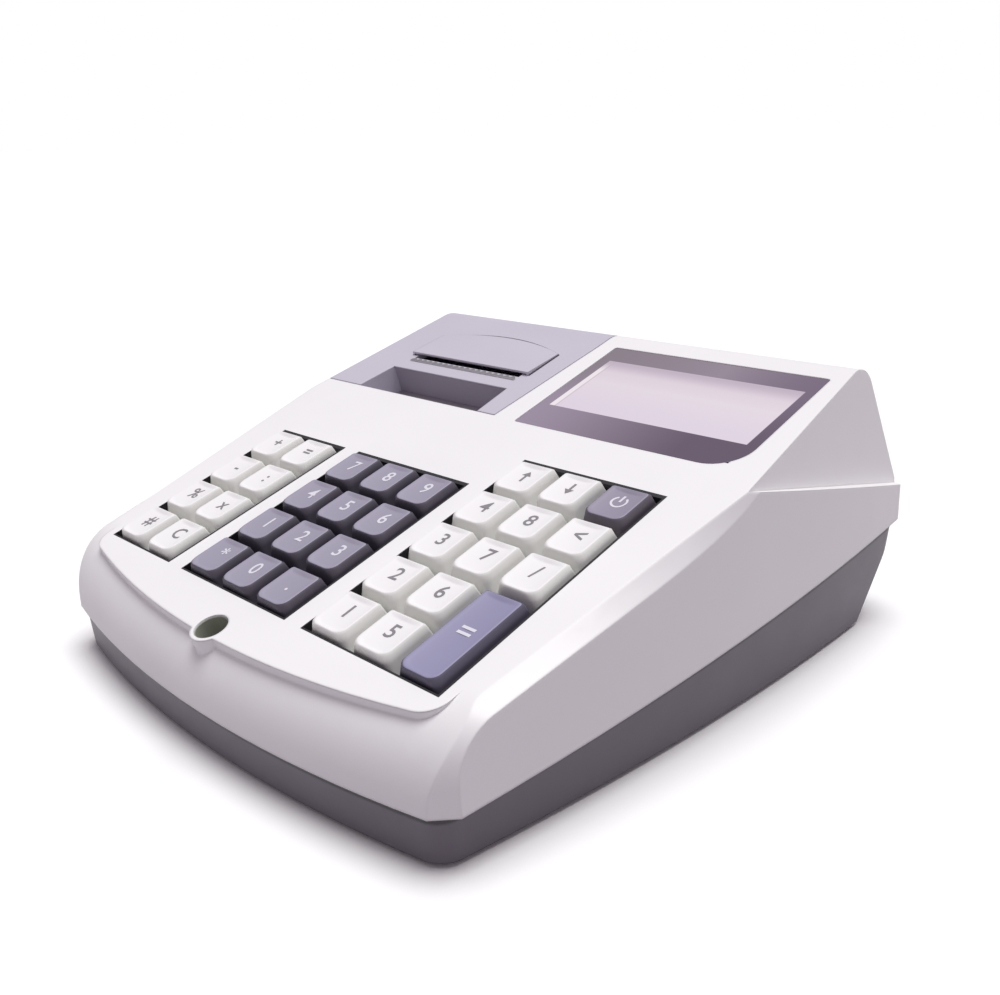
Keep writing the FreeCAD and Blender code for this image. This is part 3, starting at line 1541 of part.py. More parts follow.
def add_block(body, kind, name, half_x, half_y, middle, low, tall):
    """A box inside a body, centred across and about a place along it."""
    block = body.newObject(kind, name)
    block.AttachmentSupport = [(origin_plane(body, "XY_Plane"), "")]
    block.MapMode = "FlatFace"
    for side, size in (("Length", half_x * 2), ("Width", half_y * 2), ("Height", tall),
                       ("AttachmentOffset.Base.x", -half_x),
                       ("AttachmentOffset.Base.y", middle - half_y),
                       ("AttachmentOffset.Base.z", low)):
        bind(block, side, size)
    return block


def board_span(margin):
    """The keyboard parts' extent: the key fields and a margin."""
    half = (z.key_pitch * 8 + z.field_gap * 2) / 2 + margin
    return (-half, half), (-margin, z.key_pitch * 5 + margin)


def dome_top():
    return -z.stem_reach - z.key_travel - z.dome_gap


def key_guide():
    """Plate under the wells whose square holes guide the key stems, on four legs."""
    xs, vs = board_span(z.guide_margin)
    top = -z.well_skirt
    plate = deck_box("guide_plate", xs, vs, (top - z.guide_thick, top))
    holes = []
    half = z.stem_width / 2 + z.guide_clearance
    for name, left, column, row, tall in key_places():
        for number, (x, v) in enumerate(stem_places(left, column, row, tall)):
            holes.append(deck_box("%s_guide_%d" % (name, number), (x - half, x + half),
                                  (v - half, v + half), (-z.overrun, 0)))
    pierced = cut("guide_pierced", plate, fuse("guide_holes", *holes))
    legs = []
    for x in (xs[0] + z.leg_inset, xs[1] - z.leg_inset - z.leg_width):
        for v in (vs[0] + z.leg_inset, vs[1] - z.leg_inset - z.leg_width):
            legs.append(deck_box("guide_leg", (x, x + z.leg_width), (v, v + z.leg_width),
                                 (mat_bottom(), top - z.guide_thick / 2)))
    return finish(fuse("guide_done", pierced, *legs), "key_guide")


def mat_bottom():
    return dome_top() - z.dome_height - z.mat_thick


def dome_mat():
    """Rubber sheet with one low square dome under each stem."""
    xs, vs = board_span(-z.mat_margin)
    bottom = mat_bottom()
    pieces = [deck_box("mat_sheet", xs, vs, (bottom, bottom + z.mat_thick))]
    half = z.dome_width / 2
    for name, left, column, row, tall in key_places():
        for number, (x, v) in enumerate(stem_places(left, column, row, tall)):
            pieces.append(deck_box("%s_dome_%d" % (name, number), (x - half, x + half),
                                   (v - half, v + half), (bottom + z.mat_thick / 2, dome_top())))
    return finish(fuse("mat_done", *pieces), "dome_mat")


def keyboard_board():
    xs, vs = board_span(z.guide_margin)
    top = mat_bottom()
    return finish(deck_box("key_board", xs, vs, (top - z.board_thick, top)), "keyboard_board")


# Inside the base

def main_board():
    level = z.main_board_height
    plate = span_box("board_plate", (z.main_board_left, z.main_board_right),
                     (z.main_board_front, z.main_board_rear), (level, level + z.board_thick))
    top = level + z.board_thick
    chips = []
    for number, (x_share, y_share, width) in enumerate(CHIP_SHARES):
        x = z.main_board_left + (z.main_board_right - z.main_board_left) * x_share
        y = z.main_board_front + (z.main_board_rear - z.main_board_front) * y_share
        side = z.chip_side * width
        chips.append(span_box("chip_%d" % number, (x, x + side), (y, y + side),
                              (top, top + z.chip_height)))
    return finish(fuse("board_done", plate, *chips), "main_board")


CHIP_SHARES = [(0.15, 0.15, 1.0), (0.5, 0.2, 1.5), (0.2, 0.45, 1.2), (0.6, 0.5, 0.8)]


def battery_pack():
    """Two cells side by side on the base floor."""
    level = z.base_lift + z.base_wall
    cells = []
    for number in range(2):
        y = z.battery_front + z.cell_radius + (z.cell_radius * 2 + z.cell_gap) * number
        cells.append(cylinder("cell_%d" % number, z.cell_radius, z.cell_length, z.battery_left, y,
                              level + z.cell_radius, "X"))
    web = span_box("cell_web", (z.battery_left, z.battery_left + z.cell_length),
                   (z.battery_front + z.cell_radius, z.battery_front + z.cell_radius * 3),
                   (level + z.cell_radius * 0.6, level + z.cell_radius * 1.4))
    return finish(fuse("battery_done", *cells, web), "battery_pack")


def socket_blocks():
    wall_y = half_length - z.socket_wall_from_rear
    made = {"power": [], "data": []}
    for number, (word, left, width, level, tall) in enumerate(sockets()):
        block = span_box("%s_block_%d" % (word, number), (left, left + width),
                         (wall_y - z.socket_long, wall_y), (level, level + tall))
        wall = z.socket_wall
        if word == "power":
            mouth = cylinder("power_mouth", z.power_mouth, z.mouth_depth, left + width / 2,
                             wall_y - z.mouth_depth, level + tall / 2, "Y")
            made[word].append(cut("power_cut", block, mouth))
        else:
            mouth = span_box("data_mouth_%d" % number, (left + wall, left + width - wall),
                             (wall_y - z.mouth_depth, wall_y),
                             (level + wall, level + tall - wall))
            made[word].append(cut("data_cut_%d" % number, block, mouth))
    finish(made["power"][0], "power_socket")
    finish(group("data_pair", *made["data"]), "data_sockets")


def feet():
    """Four square rubber pads that taper to the table."""
    pads = []
    tall = z.base_lift + z.foot_recess
    half = z.foot_width / 2 - tall * tangent(z.foot_taper)
    for number, (x, y) in enumerate(foot_places()):
        pad = prism("foot_%d" % number, [(-half, -half), (half, -half), (half, half),
                                         (-half, half)], tall, z.foot_taper)
        pads.append(put(pad, x, y, 0))
    return finish(group("feet_group", *pads), "feet")


def case_screws():
    """Four screws from below and the seal screw from above."""
    made = []
    for number, (x, y) in enumerate(case_posts()):
        seat = parting_level(y) - z.post_seat
        head = cylinder("screw_head_%d" % number, z.screw_head_radius, z.screw_head_thick, x, y,
                        seat - z.screw_head_thick)
        shank = cylinder("screw_shank_%d" % number, z.screw_radius, z.screw_length, x, y, seat)
        made.append(fuse("screw_%d" % number, head, shank))
    seat = -z.well_depth
    head = deck_rod("seal_head", z.screw_head_radius, 0, -z.boss_from_keys, seat,
                    seat + z.screw_head_thick)
    shank = deck_rod("seal_shank", z.screw_radius, 0, -z.boss_from_keys,
                     seat - z.boss_floor - z.seal_reach, seat + z.screw_head_thick / 2)
    made.append(fuse("seal_screw", head, shank))
    return finish(group("screw_group", *made), "case_screws")


def check_and_export():
    doc.recompute()
    for obj in doc.Objects:
        if "Invalid" in obj.State or "Error" in obj.State:
            raise RuntimeError("%s failed: %s" % (obj.Name, obj.State))
    bad = [obj.Label for obj in nodes
           if obj.Shape.isNull() or not obj.Shape.isValid() or not obj.Shape.Solids]
    if bad:
        raise RuntimeError("no valid solid: %s" % ", ".join(bad))
    for obj in nodes:
        solids = len(obj.Shape.Solids)
        print("%-20s %2d solid(s) %9.1f mm3" % (obj.Label, solids, obj.Shape.Volume))
        obj.Shape.exportStep("parts/%s.step" % obj.Label)


def main():
    top_housing()
    bottom_housing()
    printer_cover()
    cover_hood()
    tear_bar()
    cover_hinge_pin()
    printer_frame()
    print_head()
    head_spring()
    platen_roller()
    gears()
    feed_motor()
    display_lens()
    lcd_module()
    display_frame()
    for place in key_places():
        key(*place)
    key_guide()
    dome_mat()
    keyboard_board()
    main_board()
    battery_pack()
    socket_blocks()
    feet()
    case_screws()
    check_and_export()


main()
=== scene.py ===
import json
import math

import bmesh
import bpy
from mathutils import Matrix, Vector


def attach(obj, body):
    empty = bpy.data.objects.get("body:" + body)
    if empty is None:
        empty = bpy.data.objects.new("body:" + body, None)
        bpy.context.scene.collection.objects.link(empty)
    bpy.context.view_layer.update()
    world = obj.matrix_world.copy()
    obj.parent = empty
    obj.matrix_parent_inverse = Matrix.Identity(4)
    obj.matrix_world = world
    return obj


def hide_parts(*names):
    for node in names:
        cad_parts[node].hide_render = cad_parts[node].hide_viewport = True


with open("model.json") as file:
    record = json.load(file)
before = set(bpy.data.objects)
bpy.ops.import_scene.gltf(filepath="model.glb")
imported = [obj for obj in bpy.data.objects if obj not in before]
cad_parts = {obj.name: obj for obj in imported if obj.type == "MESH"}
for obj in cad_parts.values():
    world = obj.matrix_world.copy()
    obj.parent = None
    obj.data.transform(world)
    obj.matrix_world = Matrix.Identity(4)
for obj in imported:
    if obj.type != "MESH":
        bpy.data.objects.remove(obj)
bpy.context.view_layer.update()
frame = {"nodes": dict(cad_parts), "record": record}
nodes = frame["nodes"]
subparts = frame["record"]["subparts"]

MM = 0.001

# The deck frame: x across, v up the slope from the front line of the keys, n out of the deck
TILT = math.radians(16.6)
KEYS_Y = -89.5 * MM
DECK_Z = 39.6 * MM
DECK = Matrix.Translation((0, KEYS_Y, DECK_Z)) @ Matrix.Rotation(TILT, 4, "X")


# Small helpers for shader nodes

def new_material(name):
    material = bpy.data.materials.new(name)
    material.use_nodes = True
    tree = material.node_tree
    return material, tree, tree.nodes["Principled BSDF"]


def link(tree, source, target):
    tree.links.new(source, target)


def add(tree, kind, **values):
    node = tree.nodes.new(kind)
    for key, value in values.items():
        setattr(node, key, value)
    return node


def noise(tree, scale, detail=3.0, distortion=0.0):
    """Noise laid out in the part's own coordinates; scale is in waves per metre."""
    place = add(tree, "ShaderNodeTexCoord")
    texture = add(tree, "ShaderNodeTexNoise")
    texture.inputs["Scale"].default_value = scale
    texture.inputs["Detail"].default_value = detail
    texture.inputs["Distortion"].default_value = distortion
    link(tree, place.outputs["Object"], texture.inputs["Vector"])
    return texture.outputs["Fac"]


def ramp(tree, factor, stops):
    """A colour ramp; stops are (position, colour) pairs."""
    node = add(tree, "ShaderNodeValToRGB")
    band = node.color_ramp
    while len(band.elements) < len(stops):
        band.elements.new(0.5)
    for element, (position, colour) in zip(band.elements, stops):
        element.position = position
        element.color = (*colour, 1)
    link(tree, factor, node.inputs["Fac"])
    return node.outputs["Color"]


def shade(colour, share):
    return tuple(min(1.0, c * share) for c in colour)


def bump(tree, shader, height, depth, strength, radius=0.0):
    """Bump from a height, over edges that look rounded by the given radius."""
    node = add(tree, "ShaderNodeBump")
    node.inputs["Strength"].default_value = strength
    node.inputs["Distance"].default_value = depth
    link(tree, height, node.inputs["Height"])
    if radius:
        rounded = add(tree, "ShaderNodeBevel", samples=6)
        rounded.inputs["Radius"].default_value = radius
        link(tree, rounded.outputs["Normal"], node.inputs["Normal"])
    link(tree, node.outputs["Normal"], shader.inputs["Normal"])


def plastic(name, colour, roughness=0.5, grain=2600.0, depth=0.03, edge=0.5, spread=0.04):
    """Moulded plastic: fine grain, faint cloudy colour and slightly uneven gloss."""
    material, tree, shader = new_material(name)
    cloud = noise(tree, 22.0, 4.0)
    link(tree, ramp(tree, cloud, [(0.3, shade(colour, 1 - spread)), (0.7, colour)]),
         shader.inputs["Base Color"])
    patches = noise(tree, 75.0, 5.0, 0.4)
    gloss = add(tree, "ShaderNodeMapRange")
    gloss.inputs["To Min"].default_value = roughness - 0.05
    gloss.inputs["To Max"].default_value = roughness + 0.07
    link(tree, patches, gloss.inputs["Value"])
    link(tree, gloss.outputs["Result"], shader.inputs["Roughness"])
    bump(tree, shader, noise(tree, grain, 2.0), depth * MM, 0.35, edge * MM)
    return material


def metal(name, colour, roughness=0.3):
    """Brushed steel with fine lines along X."""
    material, tree, shader = new_material(name)
    shader.inputs["Metallic"].default_value = 1.0
    place = add(tree, "ShaderNodeTexCoord")
    stretch = add(tree, "ShaderNodeMapping")
    stretch.inputs["Scale"].default_value = (60, 4000, 4000)
    link(tree, place.outputs["Object"], stretch.inputs["Vector"])
    lines = add(tree, "ShaderNodeTexNoise")
    lines.inputs["Scale"].default_value = 1.0
    lines.inputs["Detail"].default_value = 4.0
    link(tree, stretch.outputs["Vector"], lines.inputs["Vector"])
    link(tree, ramp(tree, lines.outputs["Fac"], [(0.2, shade(colour, 0.8)), (0.8, colour)]),
         shader.inputs["Base Color"])
    gloss = add(tree, "ShaderNodeMapRange")
    gloss.inputs["To Min"].default_value = roughness - 0.08
    gloss.inputs["To Max"].default_value = roughness + 0.15
    link(tree, lines.outputs["Fac"], gloss.inputs["Value"])
    link(tree, gloss.outputs["Result"], shader.inputs["Roughness"])
    bump(tree, shader, lines.outputs["Fac"], 0.01 * MM, 0.3)
    return material


def rubber(name, colour):
    return plastic(name, colour, roughness=0.8, grain=1400.0, depth=0.06, edge=0.3, spread=0.2)


def circuit_board(name):
    """Green board with faint darker tracks."""
    material, tree, shader = new_material(name)
    place = add(tree, "ShaderNodeTexCoord")
    tracks = add(tree, "ShaderNodeTexVoronoi", feature="F1", distance="MANHATTAN")
    tracks.inputs["Scale"].default_value = 260.0
    link(tree, place.outputs["Object"], tracks.inputs["Vector"])
    link(tree, ramp(tree, tracks.outputs["Distance"], [
        (0.25, (0.012, 0.09, 0.035)), (0.3, (0.03, 0.17, 0.07)), (0.6, (0.025, 0.14, 0.06))]),
        shader.inputs["Base Color"])
    shader.inputs["Roughness"].default_value = 0.35
    bump(tree, shader, tracks.outputs["Distance"], 0.02 * MM, 0.2)
    return material


def deck_position(tree):
    """Separate x and v outputs of the deck frame, for marks printed on deck pieces."""
    place = add(tree, "ShaderNodeTexCoord")
    turn = add(tree, "ShaderNodeMapping", vector_type="TEXTURE")
    turn.inputs["Location"].default_value = (0, KEYS_Y, DECK_Z)
    turn.inputs["Rotation"].default_value = (TILT, 0, 0)
    link(tree, place.outputs["Object"], turn.inputs["Vector"])
    split = add(tree, "ShaderNodeSeparateXYZ")
    link(tree, turn.outputs["Vector"], split.inputs["Vector"])
    return split.outputs["X"], split.outputs["Y"]


def smooth_step(tree, value, start, end):
    node = add(tree, "ShaderNodeMapRange", interpolation_type="SMOOTHSTEP")
    node.inputs["From Min"].default_value = start
    node.inputs["From Max"].default_value = end
    link(tree, value, node.inputs["Value"])
    return node.outputs["Result"]


def inside_band(tree, value, low, high, soft):
    """1 between two places, fading to 0 over a soft edge."""
    product = add(tree, "ShaderNodeMath", operation="MULTIPLY")
    link(tree, smooth_step(tree, value, low - soft, low + soft), product.inputs[0])
    link(tree, smooth_step(tree, value, high + soft, high - soft), product.inputs[1])
    return product.outputs["Value"]


def blend_colours(tree, factor, low, high):
    """Mix of two colours, each a socket or a plain colour."""
    mix = add(tree, "ShaderNodeMix", data_type="RGBA")
    link(tree, factor, mix.inputs["Factor"])
    for side, colour in (("A", low), ("B", high)):
        if isinstance(colour, tuple):
            mix.inputs[side].default_value = (*colour, 1)
        else:
            link(tree, colour, mix.inputs[side])
    return mix.outputs["Result"]


# Window of the display in the deck frame: left, right, front and rear
WINDOW = (8.4 * MM, 86.0 * MM, 123.7 * MM, 157.7 * MM)
WINDOW_EDGE = 0.12 * MM
BORDER_WIDTH = 95 * MM
# Across the window: end of the painted light on the lit left wall of its recess, then the start and
# end of a painted dark edge
WALL_LIT, WALL_DARK, WALL_END = 10.4 * MM, 10.9 * MM, 11.4 * MM
# Along the window: where the painted shade of the recess's rear wall starts and where it is full
REAR_SHADE = (149.5 * MM, 157.0 * MM)


def lens():
    """Glossy plate: violet grey printed border round the pale window of the display, with painted
    light and shade for the walls of its recess.
    """
    material, tree, shader = new_material("lens_plate")
    x, v = deck_position(tree)
    left, right, front, rear = WINDOW
    window = add(tree, "ShaderNodeMath", operation="MULTIPLY")
    link(tree, inside_band(tree, x, left, right, WINDOW_EDGE), window.inputs[0])
    link(tree, inside_band(tree, v, front, rear, WINDOW_EDGE), window.inputs[1])
    across = smooth_step(tree, x, 0.0, BORDER_WIDTH)
    front_border = ramp(tree, across, [
        (0.0, (0.32, 0.265, 0.35)), (0.3, (0.235, 0.19, 0.25)), (0.8, (0.115, 0.085, 0.13))])
    rear_border = ramp(tree, across, [
        (0.0, (0.23, 0.195, 0.23)), (0.6, (0.29, 0.24, 0.30)), (1.0, (0.17, 0.13, 0.19))])
    border = blend_colours(tree, smooth_step(tree, v, front, rear), front_border, rear_border)
    # the window's pane, with painted light on the lit left wall and painted shade on the rear wall
    # of its recess
    pane = ramp(tree, smooth_step(tree, v, front, rear), [
        (0.0, (0.76, 0.69, 0.78)), (0.6, (0.80, 0.74, 0.79)), (1.0, (0.74, 0.66, 0.73))])
    pane = blend_colours(tree, smooth_step(tree, x, WALL_END, WALL_DARK), pane,
                         (0.62, 0.54, 0.60))
    pane = blend_colours(tree, smooth_step(tree, x, WALL_DARK, WALL_LIT), pane,
                         (0.90, 0.86, 0.87))
    pane = blend_colours(tree, smooth_step(tree, v, *REAR_SHADE), pane, (0.55, 0.47, 0.55))
    link(tree, blend_colours(tree, window.outputs["Value"], border, pane),
         shader.inputs["Base Color"])
    shader.inputs["Roughness"].default_value = 0.12
    shader.inputs["Coat Weight"].default_value = 0.4
    shader.inputs["Coat Roughness"].default_value = 0.05
    bump(tree, shader, noise(tree, 40.0, 1.0), 0.02 * MM, 0.15, 0.3 * MM)
    return material


def lcd():
    """Reflective display: pale green grey with a fine grid."""
    material, tree, shader = new_material("lcd_block")
    place = add(tree, "ShaderNodeTexCoord")
    grid = add(tree, "ShaderNodeTexBrick", offset=0.0)
    grid.inputs["Scale"].default_value = 400.0
    grid.inputs["Color1"].default_value = (0.42, 0.45, 0.38, 1)
    grid.inputs["Color2"].default_value = (0.40, 0.43, 0.37, 1)
    grid.inputs["Mortar"].default_value = (0.34, 0.37, 0.31, 1)
    link(tree, place.outputs["Object"], grid.inputs["Vector"])
    link(tree, grid.outputs["Color"], shader.inputs["Base Color"])
    shader.inputs["Roughness"].default_value = 0.3
    return material


CHARCOAL = (0.148, 0.131, 0.163)
CASE_LENGTH = 221.0
PARTING_FRONT, PARTING_REAR = 14.4, 34.6
# Plane between the two halves of the case: its slope, and its height in the middle
PARTING_SLOPE = (PARTING_REAR - PARTING_FRONT) / CASE_LENGTH
PARTING_LEVEL = (PARTING_REAR + PARTING_FRONT) / 2 * MM


def base_plastic():
    """Charcoal plastic, with painted shade right under the edge of the upper case."""
    material = plastic("case_charcoal", CHARCOAL, roughness=0.42, grain=1800.0, depth=0.05,
                       edge=0.7, spread=0.12)
    tree = material.node_tree
    shader = tree.nodes["Principled BSDF"]
    coords = add(tree, "ShaderNodeTexCoord")
    level = add(tree, "ShaderNodeVectorMath", operation="DOT_PRODUCT")
    level.inputs[1].default_value = (0, -PARTING_SLOPE, 1)
    link(tree, coords.outputs["Object"], level.inputs[0])
    colour = shader.inputs["Base Color"].links[0].from_socket
    # painted shade under the overhang of the upper case: full from 1.9 mm below the parting plane
    # upwards, gone by 3 mm below
    shaded = blend_colours(tree, smooth_step(tree, level.outputs["Value"],
                                             PARTING_LEVEL - 3.0 * MM, PARTING_LEVEL - 1.9 * MM),
                           colour, shade(CHARCOAL, 0.12))
    link(tree, shaded, shader.inputs["Base Color"])
    return material


# One finish for each material slot of the record
WHITE = (0.90, 0.895, 0.90)
FINISHES = {
    "case_white": plastic("case_white", WHITE, roughness=0.42, edge=1.1, spread=0.02),
    "case_charcoal": base_plastic(),
    "insert_grey": plastic("insert_grey", (0.585, 0.56, 0.645), roughness=0.42, edge=0.8),
    "lens_tint": lens(),
    "lcd": lcd(),
    "key_white": plastic("key_white", (0.80, 0.80, 0.77), roughness=0.5, edge=0.2, spread=0.03),
    "key_dark": plastic("key_dark", (0.085, 0.075, 0.10), roughness=0.5, edge=0.2, spread=0.1),
    "key_lilac": plastic("key_lilac", (0.10, 0.09, 0.13), roughness=0.5, edge=0.2),
    "key_grey": plastic("key_grey", (0.11, 0.095, 0.12), roughness=0.5, edge=0.2),
    "inner_black": plastic("inner_black", (0.02, 0.02, 0.022), roughness=0.6, edge=0.3),
    "gear_white": plastic("gear_white", (0.70, 0.69, 0.64), roughness=0.45, edge=0.1),
    "steel": metal("steel", (0.60, 0.60, 0.61)),
    "soft_rubber": rubber("soft_rubber", (0.035, 0.034, 0.036)),
    "dome_silicone": rubber("dome_silicone", (0.45, 0.45, 0.43)),
    "board_green": circuit_board("board_green"),
    "cell_wrap": plastic("cell_wrap", (0.03, 0.09, 0.28), roughness=0.3, edge=0.3),
}


# Key tops get lighter copies of their skirts' colours: painted sheen of the overhead light on the
# tops
LIT_KEY_TOPS = {
    "key_white": plastic("key_white_lit_top", (0.89, 0.885, 0.885), roughness=0.5, edge=0.2,
                         spread=0.02),
    "key_dark": plastic("key_dark_lit_top", (0.35, 0.33, 0.42), roughness=0.52, edge=0.2, spread=0.05),
    "key_lilac": plastic("key_lilac_lit_top", (0.30, 0.29, 0.44), roughness=0.5, edge=0.2,
                         spread=0.05),
    "key_grey": plastic("key_grey_lit_top", (0.31, 0.285, 0.37), roughness=0.5, edge=0.2,
                        spread=0.05),
}


def dress_frame():
    """Give every CAD node the finish of its slot."""
    for entry in subparts:
        obj = nodes[entry["node"]]
        if not obj.material_slots:
            continue
        for place in obj.material_slots:
            place.link = "OBJECT"
            place.material = FINISHES[entry["material_slot"]]


# Key caps

PITCH = 18.0 * MM
FIELD_GAP = 8.1 * MM
CAP_BASE = 16.9 * MM
CAP_TOP = (12.6 * MM, 14.0 * MM)
CAP_LOW, CAP_HIGH = -4.6 * MM, 2.3 * MM
TOP_FORWARD = 0.4 * MM
DISH_RADIUS = 26.0 * MM
DISH_DEPTH = 0.8 * MM
CAP_ROLL = 0.5 * MM
STEM_HALF, STEM_FOOT = 2.3 * MM, -13.0 * MM
INK_LIFT = 0.06 * MM
MARK_SIZE, ARROW_SIZE, MARK_SHIFT = 7.2 * MM, 5.4 * MM, 1.2 * MM


def rounded_ring(half_x, half_y, rear_radius, front_radius, steps=5, between=6):
    """Points round a rounded rectangle, counter clockwise, as (x, y) pairs."""
    arcs = []
    for turn, (sx, sy) in enumerate(((1, 1), (-1, 1), (-1, -1), (1, -1))):
        radius = rear_radius if sy > 0 else front_radius
        angles = [math.pi / 2 * (turn + i / steps) for i in range(steps + 1)]
        arcs.append([(sx * (half_x - radius) + radius * math.cos(angle),
                      sy * (half_y - radius) + radius * math.sin(angle)) for angle in angles])
    points = []
    for arc, after in zip(arcs, arcs[1:] + arcs[:1]):
        (x0, y0), (x1, y1) = arc[-1], after[0]
        points += arc
        points += [(x0 + (x1 - x0) * i / between, y0 + (y1 - y0) * i / between)
                   for i in range(1, between)]
    return points


def dish_level(x):
    """Height of the dished key top at a place across the key."""
    return CAP_HIGH - DISH_DEPTH + DISH_RADIUS - math.sqrt(DISH_RADIUS ** 2 - x * x)


# Rings of a cap from the first to this one have the colour of the skirt; the rest have the lighter
# top colour, a painted sheen
SKIRT_RINGS = 7


def cap_rings(length):
    """Rings of a key cap from its skirt to the middle of its top.

    Each is its points, its level or None on the dish, and its shift along the deck.
    """
    half_y = length / 2
    top_x, top_y = CAP_TOP[0] / 2, CAP_TOP[1] / 2 + (length - CAP_BASE) / 2
    roll = CAP_ROLL
    rings = []
    for share in (0.0, 0.06, 0.3, 0.55, 0.82):
        ease = share ** 0.9
        x = CAP_BASE / 2 + (top_x + roll * 0.5 - CAP_BASE / 2) * ease
        y = half_y + (top_y + roll * 0.5 - half_y) * ease
        level = CAP_LOW + (CAP_HIGH - roll - CAP_LOW) * share / 0.82
        rings.append((rounded_ring(x, y, 0.7 * MM, (0.9 + 2.6 * share) * MM), level,
                      -TOP_FORWARD * share))
    for step in range(1, 5):
        angle = math.pi / 2 * step / 4
        inset = roll * (1 - math.cos(angle)) - roll * 0.5
        level = CAP_HIGH - roll + roll * math.sin(angle)
        rings.append((rounded_ring(top_x - inset, top_y - inset, 0.8 * MM, 3.1 * MM), level,
                      -TOP_FORWARD))
    for inset in (0.9, 1.8, 3.2, 4.6, 5.8):
        x, y = top_x - inset * MM, top_y - inset * MM
        radius = min(max(0.3, 2.9 - inset * 0.5) * MM, x * 0.9)
        rings.append((rounded_ring(x, y, min(0.5 * MM, radius), radius), None, -TOP_FORWARD))
    return rings


def build_cap(length, stems):
    """Mesh of a key cap with its stems, in the key's own frame."""
    mesh = bmesh.new()
    loops = []
    for points, level, forward in cap_rings(length):
        loop = []
        for x, y in points:
            high = dish_level(x) if level is None else level
            loop.append(mesh.verts.new((x, y + forward, high)))
        loops.append(loop)
    count = len(loops[0])
    for number, (low, high) in enumerate(zip(loops, loops[1:]), start=1):
        for i in range(count):
            j = (i + 1) % count
            face = mesh.faces.new((low[i], low[j], high[j], high[i]))
            face.material_index = int(number >= SKIRT_RINGS)
    mesh.faces.new(loops[-1]).material_index = 1
    mesh.faces.new(list(reversed(loops[0])))
    for y in stems:
        corners = [(sx * STEM_HALF, y + sy * STEM_HALF) for sx, sy in
                   ((-1, -1), (1, -1), (1, 1), (-1, 1))]
        low = [mesh.verts.new((x, v, STEM_FOOT)) for x, v in corners]
        high = [mesh.verts.new((x, v, CAP_LOW)) for x, v in corners]
        for i in range(4):
            j = (i + 1) % 4
            mesh.faces.new((low[i], low[j], high[j], high[i]))
        mesh.faces.new(list(reversed(low)))
        mesh.faces.new(high)
    for face in mesh.faces:
        face.smooth = True
    return mesh


def legend_shape(text, size):
    """Flat mesh of a printed mark, centred, made from a text curve."""
    curve = bpy.data.curves.new("mark", "FONT")
    curve.body = text
    curve.size = size
    curve.align_x = "CENTER"
    curve.align_y = "CENTER"
    curve.resolution_u = 3
    curve.offset = size * 0.012
    obj = bpy.data.objects.new("mark", curve)
    bpy.context.scene.collection.objects.link(obj)
    bpy.context.view_layer.update()
    flat = bpy.data.meshes.new_from_object(obj)
    bpy.data.objects.remove(obj)
    bpy.data.curves.remove(curve)
    return flat


def arrow_shape(size):
    """Flat mesh of an arrow that points to the rear."""
    mesh = bmesh.new()
    h = size / 2
    outline = [(-0.16, -1), (0.16, -1), (0.16, 0.15), (0.62, 0.15), (0, 1), (-0.62, 0.15),
               (-0.16, 0.15)]
    mesh.faces.new([mesh.verts.new((x * h, y * h, 0)) for x, y in outline])
    flat = bpy.data.meshes.new("arrow")
    mesh.to_mesh(flat)
    mesh.free()
    return flat


def power_shape(size):
    """Flat mesh of a broken ring with a bar, the common mark for on and off."""
    mesh = bmesh.new()
    outer, inner, steps = size / 2, size / 2 * 0.74, 28
    start, end = math.radians(125), math.radians(415)
    rim = []
    for step in range(steps + 1):
        angle = start + (end - start) * step / steps
        rim.append([mesh.verts.new((r * math.cos(angle), r * math.sin(angle), 0))
                    for r in (inner, outer)])
    for (a, b), (c, d) in zip(rim, rim[1:]):
        mesh.faces.new((a, b, d, c))
    w = size * 0.07
    mesh.faces.new([mesh.verts.new(p) for p in (
        (-w, 0, 0), (w, 0, 0), (w, outer * 1.15, 0), (-w, outer * 1.15, 0))])
    flat = bpy.data.meshes.new("power")
    mesh.to_mesh(flat)
    mesh.free()
    return flat


def print_mark(mesh, kind, size, material_index):
    """Add a printed mark to a cap, following its dished top."""
    if kind.startswith("ARROW"):
        flat = arrow_shape(size)
    elif kind == "POWER":
        flat = power_shape(size)
    else:
        flat = legend_shape(kind, size)
    before = len(mesh.faces)
    mesh.from_mesh(flat)
    mesh.faces.ensure_lookup_table()
    fresh = mesh.faces[before:]
    points = {v for face in fresh for v in face.verts}
    spin = Matrix.Rotation(math.pi if kind == "ARROW_DOWN" else 0.0, 3, "Z")
    for point in points:
        place = spin @ point.co
        place.y += MARK_SHIFT - TOP_FORWARD
        place.z = dish_level(place.x) + INK_LIFT
        point.co = place
    for face in fresh:
        face.material_index = material_index
        face.smooth = False
        if face.normal.z < 0:
            face.normal_flip()
    bpy.data.meshes.remove(flat)


def ink(name, colour):
    return plastic(name, colour, roughness=0.5, grain=6000.0, depth=0.01, edge=0.0, spread=0.08)


DARK_INK = ink("ink_dark", (0.26, 0.25, 0.27))
PALE_INK = ink("ink_pale", (0.78, 0.77, 0.82))

LONG_KEY = "key_right_c3_r1"
LONG_MARK_SHARE = 1.3
# Marks for each field, listed column by column from the front row to the rear row
MARKS = {
    "left": [["#", "%", "-", "+"], ["C", "x", ":", "="]],
    "middle": [["*", "1", "4", "7"], ["0", "2", "5", "8"], [".", "3", "6", "9"]],
    "right": [["1", "2", "3", "4", "ARROW_UP"], ["5", "6", "7", "8", "ARROW_DOWN"],
              ["=", None, "/", "<", "POWER"]],
}


def key_fields():
    """Left edge of each key field in the deck frame."""
    left = -(PITCH * 8 + FIELD_GAP * 2) / 2
    middle = left + PITCH * 2 + FIELD_GAP
    return {"left": left, "middle": middle, "right": middle + PITCH * 3 + FIELD_GAP}


